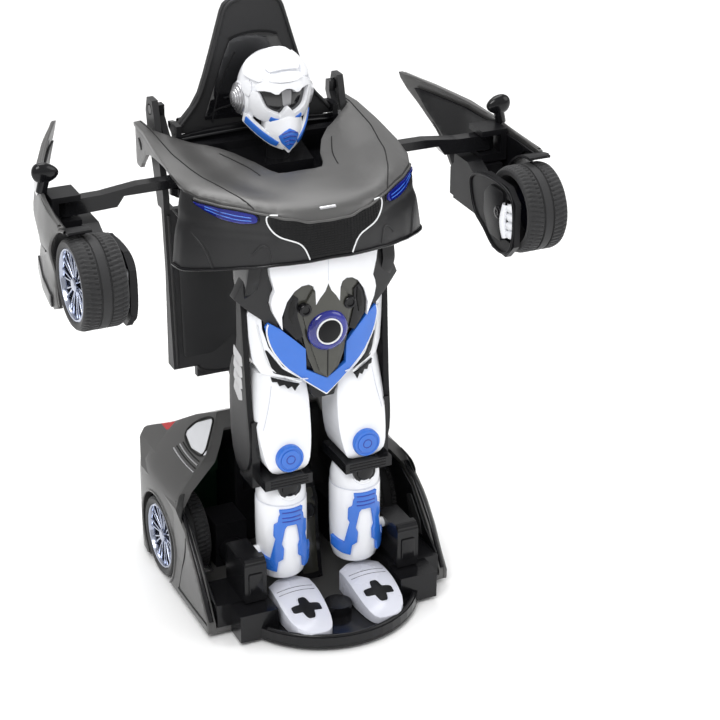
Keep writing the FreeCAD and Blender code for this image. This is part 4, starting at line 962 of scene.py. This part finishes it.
def side_panel(word, side):
    """Black panel outside the thigh with its claw marks."""
    def outer(u, v, w):
        return (side * (39.4 + w + 0.01 * (v - 90)), u, v)
    shell = [(-29, 152), (-31, 130), (-34, 112), (-33, 98), (-26, 88), (-14, 86), (-6, 100), (-5, 130),
             (-8, 150), (-18.5, 160), (-19.5, 192), (-22, 196), (-26, 190), (-27.5, 170)]
    slab("leg_side_" + word, smooth_outline(shell, 1), -0.6, 2.6, outer, "inner", "legs", step=5, bevel=0.9,
         segments=3)
    for k in range(4):
        z = 152 - 7 * k
        claw = [(-25.5 + k * 0.4, z + 6.5), (-14.5, z + 9.5), (-13.5 + k * 0.3, z + 4), (-19.5, z - 1.0),
                (-26.5 + k * 0.5, z + 1.2)]
        slab("leg_claw_%s_%d" % (word, k), round_corners(claw, 1.0, 3), 2.5, 2.75, outer, "decal", "legs",
             step=3)


def legs():
    for word, side in SIDES:
        shin(word, side)
        shin_plate(word, side)
        thigh_shell(word, side)
        knee(word, side)
        side_panel(word, side)


CROSS_X = 22
CROSS_Y = -63.5


def feet():
    """Pale feet with a cross-shaped hole and two grooves."""
    for word, side in SIDES:
        plan = [(9.6, -34.4), (9.2, -48), (9.6, -62), (11, -74), (13.6, -79.6), (20, -80.8), (28, -79.4),
                (33.4, -72.6), (35.0, -60), (34.6, -48), (33.6, -34.4)]

        def top(u, v):
            z = lerp_table([(-82, 9.5), (-79, 12.2), (-73, 15.0), (-62, 18.4), (-53, 20.6), (-46, 21.2),
                            (-34, 20.6)], v)
            return z - 0.012 * (abs(u) - 22) ** 2

        def foot(u, v, w):
            z = 6.8 if w < -0.5 else top(u, v)
            return (u, v, z)
        hole = [(-2.4, -8), (2.4, -8), (3.4, -3), (8.4, -3.4), (8.4, 2.2), (3.0, 2.4), (2.0, 7.4),
                (-2.6, 7.4), (-3.2, 2.6), (-8.4, 3.0), (-8.4, -2.4), (-3.4, -2.8)]
        slab("foot_shell_" + word, flip(smooth_outline(plan, 1), side), -1, 0, foot, "foot", "base", step=3.0,
             stands_for=both_in(side, "feet"), bevel=1.8, bevel_angle=45, segments=3, sharp=55)

        def on_top(u, v, w):
            return (u, v, top(u, v) + w)
        cross = [(side * CROSS_X + u, CROSS_Y + v) for u, v in round_corners(hole, 0.5, 2)]
        slab("foot_cross_" + word, cross, -1.0, 0.12, on_top, "inner", "base", step=3.0, bevel=0.1)
        border = [(side * CROSS_X + u * 1.08, CROSS_Y + v * 1.08) for u, v in hole]
        tube("foot_cross_edge_" + word, [on_top(u, v, 0.05) for u, v in border], 0.35, "foot", "base",
             closed=True)
        for k, v in enumerate((-46.5, -50.0)):
            groove = [on_top(side * u, v, 0.02) for u in (11.4, 17, 22, 27, 32.6)]
            tube("foot_groove_%s_%d" % (word, k), groove, 0.2, "seam", "base")


# ---------------------------------------------------------------- wheels

TYRE_WIDTH = 24.0
TYRE_RADIUS = 24.2
REAR_WHEEL = (32, 24.3)
FRONT_WHEEL = (-32, 220)


def tyre(name, x, y, z, body, node):
    """Carcass with lateral tread cuts that lean as they cross the shoulder."""
    radius = TYRE_RADIUS
    bead = 19.2
    middle = TYRE_WIDTH / 2
    profile = [(bead, 0.8), (20.6, 0.1), (22.2, 0.0), (23.2, 0.8), (23.8, 2.0), (radius, 3.4), (radius, 6.6),
               (radius, 8.6), (radius - 0.9, 8.9), (radius - 0.9, 9.6), (radius, 9.9), (radius, 12.0),
               (radius, 14.1), (radius - 0.9, 14.4), (radius - 0.9, 15.1), (radius, 15.4), (radius, 17.4),
               (radius, 20.6), (23.8, 22.0), (23.2, 23.2), (22.2, 24.0), (20.6, 23.9), (bead, 23.2)]
    steps = 168
    bm = bmesh.new()
    rings = []
    for k in range(steps):
        ring = []
        for r, h in profile:
            lean = 0.9 * abs(h - middle) / middle
            cut = (k + (2 if lean > 0.55 else 0)) % 3 == 0
            shoulder = (1.5 < h < 8.7 or 15.3 < h < 22.5) and r > 23.0
            depth = 0.75 if cut and shoulder else 0.0
            a = 2 * math.pi * k / steps + math.radians(3.0) * lean
            ring.append(bm.verts.new(Vector((x + h, y + (r - depth) * math.sin(a),
                                             z + (r - depth) * math.cos(a))) * MM))
        rings.append(ring)
    for k in range(steps):
        here, there = rings[k], rings[(k + 1) % steps]
        for i in range(len(profile)):
            j = (i + 1) % len(profile)
            bm.faces.new((here[i], here[j], there[j], there[i]))
    finish_piece(name, bm, "tyre", body, stands_for=[node], sharp=32)


SPOKES = 10
SPOKE_ROOT = 3.0
SPOKE_TIP = 17.6
SPOKE_WIDTH = 0.75


def rim(name, x, y, z, side, body, node):
    """Split-spoke rim: bright spokes and lip over a blue-black barrel."""
    face = x + (22.4 if side > 0 else 1.6)

    def local(a, b, c):
        return (face + side * c, y + a, z + b)
    lathe(name + "_lip", [(17.2, -3.5), (19.15, -3.5), (19.2, 0.6), (18.6, 1.1), (17.9, 0.9), (17.2, -0.6)],
          local, "chrome", body, steps=72, stands_for=[node])
    lathe(name + "_barrel", [(0.4, -7.4), (19.1, -7.4), (19.1, -3.4), (17.2, -3.4), (16.8, -5.4),
                             (0.4, -5.6)], local, "rim_dark", body, steps=56)
    lathe(name + "_cap", [(0.3, -6), (3.6, -6), (3.6, -0.6), (2.9, 0.1), (0.3, 0.3)], local, "chrome", body,
          steps=28)
    for k in range(SPOKES):
        a = 2 * math.pi * k / SPOKES
        for n, spread in enumerate((0.085, -0.085)):
            start, end = a + spread * 0.3, a + spread * 1.5
            p = [(SPOKE_ROOT * math.cos(start), SPOKE_ROOT * math.sin(start)),
                 (SPOKE_TIP * math.cos(end), SPOKE_TIP * math.sin(end))]
            dx, dy = p[1][0] - p[0][0], p[1][1] - p[0][1]
            run = math.hypot(dx, dy)
            ox, oy = -dy / run * SPOKE_WIDTH * 0.5, dx / run * SPOKE_WIDTH * 0.5
            outline = [(p[0][0] + ox, p[0][1] + oy), (p[0][0] - ox, p[0][1] - oy),
                       (p[1][0] - ox * 1.3, p[1][1] - oy * 1.3), (p[1][0] + ox * 1.3, p[1][1] + oy * 1.3)]

            def dished(u, v, w):
                r = math.hypot(u, v)
                return local(u, v, w - 1.6 + 1.2 * (r / 17) ** 2)
            slab("%s_spoke_%d_%d" % (name, k, n), outline, -1.6, 0.2, dished, "chrome", body, step=0,
                 bevel=0.2)


def wheels():
    spots = (("rear", 49.5, REAR_WHEEL), ("front", 113.6, FRONT_WHEEL))
    for word, side in SIDES:
        for end, inside, (y, z) in spots:
            x = inside if side > 0 else -inside - TYRE_WIDTH
            body = "%s_wheel_%s" % (end, word)
            tyre("%s_tyre_%s" % (end, word), x, y, z, body, body + "_tyre")
            rim("%s_rim_%s" % (end, word), x, y, z, side, body, body + "_rim")


# ---------------------------------------------------------------- doors and arms

def door_x(y, z):
    """Outer skin of a door, from its height and distance back."""
    plan = lerp_table([(-26, 139.6), (0, 139.2), (20, 136.8), (45, 131.4), (70, 120.4), (92.5, 107.5)], y)
    swell = 1.4 * bump_at(z, 232, 9) - 1.6 * bump_at(z, 214, 8)
    lean = 0.0 if z < 246 else 0.16 * (z - 246)
    return plan - lean + swell * min(1.0, max(0.0, (95 - y) / 40)) - 1.0


def arch_points(centre, radius, first, last, steps):
    """Arc round a wheel as (y, z) points, from one angle to another in degrees."""
    angles = [math.radians(first + (last - first) * k / steps) for k in range(steps + 1)]
    return [(centre[0] + radius * math.cos(a), centre[1] + radius * math.sin(a)) for a in angles]


def doors():
    """Door skins with window, liner, wheel arch and sill."""
    for word, side in SIDES:
        body = "door_" + word

        def skin(u, v, w, side=side):
            return (side * (door_x(u, v) + w), u, v)
        outline = arch_points(FRONT_WHEEL, 27.6, -48, 70, 12)
        outline += [(-22, 247.8), (14, 249.6), (24, 253), (58, 258.8), (88.5, 263.8), (88, 260.5),
                    (84.6, 254), (76, 242.5), (66, 229), (57, 217), (50, 206.5), (46.5, 198), (-6, 196)]
        slab("door_skin_" + word, outline, -2.2, 0.3, skin, "hood", body, step=4, stands_for=[body],
             bevel=0.5, bevel_angle=50, sharp=50)
        window = [(22, 250.6), (30, 253.4), (58, 257.6), (84, 261.8), (78, 251), (70, 243), (46, 243.6),
                  (26, 247)]
        slab("door_window_" + word, round_corners(window, 1.5), 0.2, 0.7, skin, "glass", body, step=4,
             bevel=0.2)
        rail = [(-20, 248.2), (14, 250.2), (24, 253.4), (58, 259.0), (86.5, 263.6)]
        tube("door_rail_" + word, [skin(y, z - 0.6, -0.6) for y, z in rail], 1.1, "hood", body)
        trail = [(86.5, 261.6), (83.2, 254.6), (75.0, 243), (65.6, 229.6), (56.8, 217.6), (49.8, 207)]
        tube("door_edge_" + word, [skin(y, z, -0.8) for y, z in trail], 1.0, "inner", body)
        sweep = [(2, 226), (20, 222), (40, 219), (56, 219)]
        tube("door_crease_" + word, [skin(y, z, 0.25) for y, z in sweep], 0.6, "hood", body)
        sill = [(-4, 196.4), (44, 198.2), (49, 203), (46, 205), (-3, 203)]
        slab("door_sill_skin_" + word, round_corners(sill, 1.2), -7.0, 1.2, skin, "black", body, step=4,
             bevel=0.7)

        def inner(u, v, w, side=side):
            return (side * (door_x(u, v) - 3.2 + w), u, v)
        liner = [(0, 206), (3, 232), (-8, 243), (-20, 246), (12, 247.6), (26, 250), (56, 254), (78, 256.5),
                 (72, 244), (60, 229), (48, 209)]
        slab("door_liner_" + word, liner, -1.2, 0.4, inner, "inner", body, step=4, bevel=0.4)
        arch = [skin(y, z, -0.6) for y, z in arch_points(FRONT_WHEEL, 27.9, -46, 84, 14)]
        tube("door_arch_lip_" + word, arch, 0.9, "hood", body)
        outline = arch_points(FRONT_WHEEL, 27.2, 92, 8, 12) + arch_points(FRONT_WHEEL, 28.8, 8, 92, 12)

        def liner_map(u, v, w, side=side):
            return (side * (137.5 + w), u, v)
        slab("wheel_liner_" + word, outline, -13.0, 0.0, liner_map, "inner", body, step=0, bevel=0.3)
        mirror_pod(word, side, body)
        carrier(word, side, body)


def mirror_pod(word, side, body):
    """Rounded mirror on a short stalk."""
    def pod(a, b, c):
        taper = 1.0 + 0.03 * a
        return (side * (132.2 + a * 0.98), 18.6 + b * 0.76 * taper, 262.0 + c * 0.74 * taper + 0.06 * a)
    bm = bmesh.new()
    bmesh.ops.create_uvsphere(bm, u_segments=28, v_segments=18, radius=7.4)
    for vert in bm.verts:
        a, b, c = vert.co
        b = b if b > 0 else b * 0.55
        vert.co = Vector(pod(a, b, c)) * MM
    finish_piece("mirror_pod_" + word, bm, "black", body, stands_for=["mirror_" + word], sharp=70)
    stalk = [(side * 134.5, 19.6, 251.4), (side * 134.0, 19.4, 254), (side * 132.8, 19.2, 258),
             (side * 132.4, 19, 261)]
    tube("mirror_stalk_" + word, stalk, 3.0, "black", body)


def carrier(word, side, body):
    """Hand tucked inside the wheel and the pressed face of its bracket."""
    def face(u, v, w):
        return (side * (108 - w), u, v)
    rim_path = [(-40, 197), (-25, 197), (-14, 205), (-3, 209), (3, 222), (3, 230), (-14, 236), (-40, 236),
                (-48, 229), (-48, 206)]
    tube("carrier_rim_" + word, [face(y, z, 0.2) for y, z in rim_path], 0.9, "inner", body, closed=True)
    pad = [(-36, 204), (-22, 204), (-15, 214), (-15, 226), (-22, 233), (-36, 233)]
    slab("carrier_pad_" + word, round_corners(pad, 2), -0.5, 1.4, face, "inner", body, step=0, bevel=0.5)
    lathe("carrier_boss_" + word, [(0.9, -0.5), (3.6, -0.5), (3.6, 2.0), (3.0, 2.4), (1.2, 2.4), (0.9, 1.6)],
          lambda a, b, c: (side * (108 - c), -32 + a, 220 + b), "black", body, steps=28, bevel=0.15)
    for k in range(4):
        z = 225.4 - 5.0 * k
        bm = bmesh.new()
        bmesh.ops.create_uvsphere(bm, u_segments=18, v_segments=12, radius=1.0)
        for vert in bm.verts:
            a, b, c = vert.co
            vert.co = Vector((side * (109.4 - 3.2 * a), -43.2 + 4.4 * b, z + 2.7 * c)) * MM
        finish_piece("finger_%s_%d" % (word, k), bm, "white", body, sharp=80,
                     stands_for=["hand_" + word] if k == 0 else [])
    thumb = [(side * 107.6, -39.6, 208), (side * 106.2, -38.6, 214), (side * 106.4, -38.4, 221),
             (side * 107.6, -39, 227)]
    tube("thumb_" + word, thumb, 2.0, "white", body)


# ---------------------------------------------------------------- base

def flank_x(y, z):
    """Outer side of the rear half: upright below, leaning in above, tapering to the tail."""
    x = lerp_table([(0, 73.4), (46, 73.4), (56, 72.6), (62, 70.0), (67, 66.0), (81, 50.6), (101, 35.8)], z)
    taper = lerp_table([(50, 0), (60, 0.6), (78, 6.0), (88, 17.5)], y)
    haunch = 0.8 * bump_at(y, 34, 22) * bump_at(z, 52, 14)
    scoop = 2.2 * bump_at(y, -2, 9) * bump_at(z, 40, 12)
    return x - taper + haunch - scoop


def base():
    """Side flanks of the car floor, quarter windows, vents, front lip and centre column."""
    for word, side in SIDES:
        def flank(u, v, w, side=side):
            return (side * (flank_x(u, v) + w), u, v)
        arch = arch_points(REAR_WHEEL, 27.4, -48, 228, 23)
        outline = [(-46.3, 3.2), (-46.6, 9), (-40, 17), (-30, 31), (-20, 41.5), (-10, 50.4), (3, 57.4),
                   (7, 67), (11, 78), (15, 85), (21, 91.6), (28, 99.4), (36, 95.6), (45, 91.2), (62, 80.2),
                   (76, 72.6), (79, 60), (80, 40), (78, 22), (74, 3.4)]
        outline += [(arch[0][0], 3.4)] + arch + [(arch[-1][0], 3.4)]
        slab("base_flank_" + word, outline, -1.4, 0.3, flank, "hood", "base", step=4, bevel=0.4,
             bevel_angle=55, sharp=50)
        tube("base_arch_" + word, [flank(y, z, 0.2) for y, z in arch], 0.8, "hood", "base")
        sill = [(-44, 8.5), (-20, 7.5), (0, 7.5)]
        tube("base_sill_" + word, [flank(y, z, 0.3) for y, z in sill], 0.6, "fascia", "base")
        crease = [(-6, 33), (-2, 42), (2, 52), (7, 60)]
        tube("base_crease_" + word, [flank(y, z, 0.25) for y, z in crease], 0.6, "hood", "base")
        door_seam = [(-13, 47), (-11, 36), (-6, 24), (-1, 8)]
        tube("base_seam_" + word, [flank(y, z, 0.28) for y, z in door_seam], 0.3, "seam", "base")
        window = [(12.5, 81.5), (21, 90.0), (27, 96.2), (39, 89), (43.5, 81.5), (28, 79.5)]
        slab("quarter_window_" + word, round_corners(window, 1.5), 0.2, 1.0, flank, "smoke", "base", step=4,
             bevel=0.3)
        edge = [(11.5, 80.5), (21, 91.0), (27.2, 97.8), (40.4, 90), (45, 80.5), (28, 78.5)]
        tube("quarter_frame_" + word, [flank(y, z, 0.8) for y, z in edge], 0.6, "seam", "base", closed=True)
        for k in range(4):
            z = 73.0 + 1.4 * k
            tube("vent_bar_%s_%d" % (word, k), [flank(10 + k, z + 1.0, 0.5), flank(26, z, 0.5),
                                                flank(42 - k, z + 1.0, 0.5)], 0.42,
                 "seam" if k % 2 else "silver", "base")
        intake = [(-6, 52), (2, 57), (6, 64), (3, 66), (-4, 60)]
        slab("side_intake_" + word, round_corners(intake, 1), 0.1, 0.6, flank, "seam", "base", step=3,
             bevel=0.1)
        inner_wall(word, side)
        clamp(word, side)
    arc = [(53.6 * math.sin(math.radians(a)), -32.4 - 53.6 * math.cos(math.radians(a)), 9.0)
           for a in range(-56, 57, 4)]
    tube("arc_lip_bead", arc, 1.3, "black", "base")
    skirt = [(55.2 * math.sin(math.radians(a)), -32.4 - 55.2 * math.cos(math.radians(a)), 3.6)
             for a in range(-56, 57, 4)]
    tube("arc_skirt_bead", skirt, 0.5, "inner", "base")

    def column(u, v, w):
        return (u, lerp_table([(6, -20.2), (30, -15.2), (55, -13.2), (64, -6)], v) - w + 0.03 * u * u, v)
    slab("column_cover", round_corners([(-7.4, 10), (7.4, 10), (7.2, 60), (-7.2, 60)], 2), -2.0, 0.6, column,
         "olive", "base", step=4, bevel=0.8, segments=3)
    disc = column(0, 48, 0.5)
    lathe("column_boss", [(0.3, -0.3), (5.2, -0.3), (5.2, 0.5), (4.6, 0.8), (4.2, 0.4), (0.3, 0.5)],
          lambda a, b, c: (disc[0] + a, disc[1] - c, disc[2] + b), "black", "base", steps=36)
    for k, z in enumerate((84, 90, 96)):
        tube("spine_rung_%d" % k, [(-15, 45.6, z), (0, 45.2, z), (15, 45.6, z)], 1.1, "black", "rear_link")


def inner_wall(word, side):
    """Black lining of the side walls that shows between the legs and the shell."""
    def wall(u, v, w):
        return (side * (68.6 - 0.02 * max(0.0, v - 20) - w), u, v)
    panel = [(-44, 20), (-30, 29), (-12, 47.5), (2, 53), (30, 53), (30, 9), (-8, 9), (-8, 21)]
    slab("wall_lining_" + word, panel, -0.2, 1.0, wall, "inner", "base", step=5, bevel=0.4)
    ridge = [(-45, 10), (-38, 20), (-28, 33), (-16, 44.5), (-6, 52.2), (2, 56.4)]
    tube("wall_edge_" + word, [(side * (flank_x(y, z) - 2.0), y, z) for y, z in ridge], 1.5, "black", "base")
    pocket = [(-26, 22), (-12, 22), (-6, 40), (-12, 43), (-24, 31)]
    slab("wall_pocket_" + word, round_corners(pocket, 1.5), 0.8, 1.6, wall, "fascia", "base", step=0,
         bevel=0.3)


def clamp(word, side):
    """Round bar and pressed panel on an ankle clamp."""
    low, high = sorted((side * 40.4, side * 52.6))
    tube("clamp_bar_" + word, [(low, -47.4, 44.4), (high, -47.4, 44.4)], 2.3, "black", "base")
    panel = round_corners([(low + 2, 25), (high - 2, 25), (high - 2, 38), (low + 2, 38)], 1.2)
    slab("clamp_panel_" + word, panel, 0, 0.9, lambda u, v, w: (u, -50 - w, v), "black", "base", step=0,
         bevel=0.4)


def back_link():
    """Pressed panels on the front of the plate behind the torso."""
    def plate(u, v, w):
        return (u, 50.4 - w, v)
    for word, side in SIDES:
        edge = [(side * 54.6, 50.2, 214), (side * 53.2, 50.2, 170), (side * 51.8, 50.2, 121)]
        tube("back_edge_" + word, edge, 0.9, "fascia", "rear_link")
        panel = flip([(12, 208), (50, 208), (48, 126), (30, 126), (12, 140)], side)
        slab("back_press_" + word, round_corners(panel, 3), -0.2, 0.8, plate, "fascia", "rear_link", step=0,
             bevel=0.4)
        tube("back_step_" + word, [(side * 20, 50, 113), (side * 39, 50, 113), (side * 39.4, 50, 119)], 0.8,
             "fascia", "rear_link")


LINK_BACK = 54.5


def back_cover():
    """Raised panel, ribs and screws on the rear of the link plate."""
    def cover(u, v, w):
        return (u, LINK_BACK + w, v)
    panel = [(-45, 208), (45, 208), (43, 128), (30, 124), (-30, 124), (-43, 128)]
    slab("back_cover", round_corners(panel, 4), -0.3, 0.9, cover, "black", "rear_link", step=0, bevel=0.5)
    for k in range(6):
        z = 146 + 9 * k
        path = [cover(x, z - 0.004 * x * x, 0.9) for x in (-32, -16, 0, 16, 32)]
        tube("back_cover_rib_%d" % k, path, 0.8, "inner", "rear_link")
    for k, (x, z) in enumerate(((38, 202), (-38, 202), (37, 134), (-37, 134))):
        lathe("back_screw_%d" % k, [(0.3, 0.6), (3.2, 0.6), (3.2, 1.6), (2.5, 2.0), (1.2, 2.0), (1.1, 1.2),
                                    (0.3, 1.2)], lambda a, b, c, x=x, z=z: (x + a, LINK_BACK + c, z + b),
              "inner", "rear_link", steps=24, bevel=0.15)


def tail():
    """Rear face of the car: lip, bumper line, number-plate recess left blank, diffuser with fins."""
    def rear(u, v, w):
        y = lerp_table([(3, 82), (22, 88), (62, 88), (71, 80)], v) - 15.0 * max(0.0, abs(u) - 50) / 18
        return (u, y + w, v)
    tube("tail_lip", [rear(x, 62.4, 0.2) for x in (-54, -36, -18, 0, 18, 36, 54)], 1.1, "hood", "base")
    tube("tail_line", [rear(x, 43.0, 0.1) for x in (-54, -36, -18, 0, 18, 36, 54)], 0.45, "seam", "base")
    diffuser = [(-46, 6), (46, 6), (42, 17), (30, 20.5), (-30, 20.5), (-42, 17)]
    slab("tail_diffuser", round_corners(diffuser, 2), -0.4, 0.8, rear, "inner", "base", step=4, bevel=0.3)
    for k, x in enumerate((-27, -9, 9, 27)):
        tube("diffuser_fin_%d" % k, [rear(x, z, 1.0) for z in (7, 11, 15, 19)], 0.8, "black", "base")
    recess = [(-24, 27), (24, 27), (26, 38.5), (-26, 38.5)]
    slab("tail_recess", round_corners(recess, 2), -0.4, 0.5, rear, "fascia", "base", step=4, bevel=0.3)
    for word, side in SIDES:
        pipe = rear(side * 37, 12, 0.4)
        lathe("tail_pipe_" + word, [(2.6, -0.6), (4.0, -0.6), (4.0, 1.8), (3.5, 2.2), (2.6, 1.8)],
              lambda a, b, c, p=pipe: (p[0] + 1.2 * a, p[1] + c, p[2] + b), "silver", "base", steps=36)


# ---------------------------------------------------------------- stage, lights, camera

def plain_floor():
    """Pale paper floor."""
    bpy.ops.mesh.primitive_plane_add(size=12.0, location=(0, 0, 0))
    floor = bpy.context.object
    floor.name = "floor"
    mat = bpy.data.materials.new("floor_paper")
    mat.use_nodes = True
    bsdf = mat.node_tree.nodes["Principled BSDF"]
    bsdf.inputs["Base Color"].default_value = (0.92, 0.92, 0.92, 1)
    bsdf.inputs["Roughness"].default_value = 0.75
    floor.data.materials.append(mat)


def area_light(name, where, aim, size, power):
    data = bpy.data.lights.new(name, "AREA")
    data.shape = "DISK"
    data.size = size
    data.energy = power
    obj = bpy.data.objects.new(name, data)
    obj.location = where
    obj.rotation_euler = (Vector(aim) - Vector(where)).to_track_quat("-Z", "Y").to_euler()
    bpy.context.scene.collection.objects.link(obj)


def lights():
    """Soft white studio light from three large discs and a bright world."""
    world = bpy.data.worlds.new("studio")
    world.use_nodes = True
    background = world.node_tree.nodes["Background"]
    background.inputs["Color"].default_value = (1, 1, 1, 1)
    background.inputs["Strength"].default_value = 0.62
    bpy.context.scene.world = world
    area_light("key", (-0.8, -0.9, 1.5), (0, 0, 0.15), 0.9, 17)
    area_light("fill", (1.2, -0.7, 0.9), (0, 0, 0.15), 1.0, 5)
    area_light("top", (0.1, 0.5, 1.7), (0, 0, 0.1), 1.3, 20)


CAMERA_ANGLES = (-25.0, 25.86, 0.43)
CAMERA_AIM = (16.0, -49.5, 155.8)
CAMERA_DISTANCE = 1181


def camera():
    """Camera at the photograph's angle, from azimuth, elevation, roll, aim and distance."""
    azimuth, elevation, roll = (math.radians(angle) for angle in CAMERA_ANGLES)
    aim = Vector(CAMERA_AIM) * MM
    outward = Vector((math.sin(azimuth) * math.cos(elevation), -math.cos(azimuth) * math.cos(elevation),
                      math.sin(elevation)))
    ahead = -outward
    right = ahead.cross(Vector((0, 0, 1))).normalized()
    up = right.cross(ahead)
    turned_right = right * math.cos(roll) + up * math.sin(roll)
    turned_up = up * math.cos(roll) - right * math.sin(roll)
    data = bpy.data.cameras.new("camera")
    data.lens = 110
    data.sensor_width = 36
    data.clip_end = 20
    obj = bpy.data.objects.new("camera", data)
    spin = Matrix((turned_right, turned_up, outward)).transposed().to_4x4()
    obj.matrix_world = Matrix.Translation(aim + outward * CAMERA_DISTANCE * MM) @ spin
    bpy.context.scene.collection.objects.link(obj)
    bpy.context.scene.camera = obj


def main():
    repaint_cad()
    hood()
    bumper()
    roof()
    head()
    torso()
    legs()
    feet()
    wheels()
    doors()
    base()
    back_link()
    back_cover()
    tail()
    plain_floor()
    lights()
    camera()
    bpy.context.scene.view_settings.view_transform = "Standard"


main()
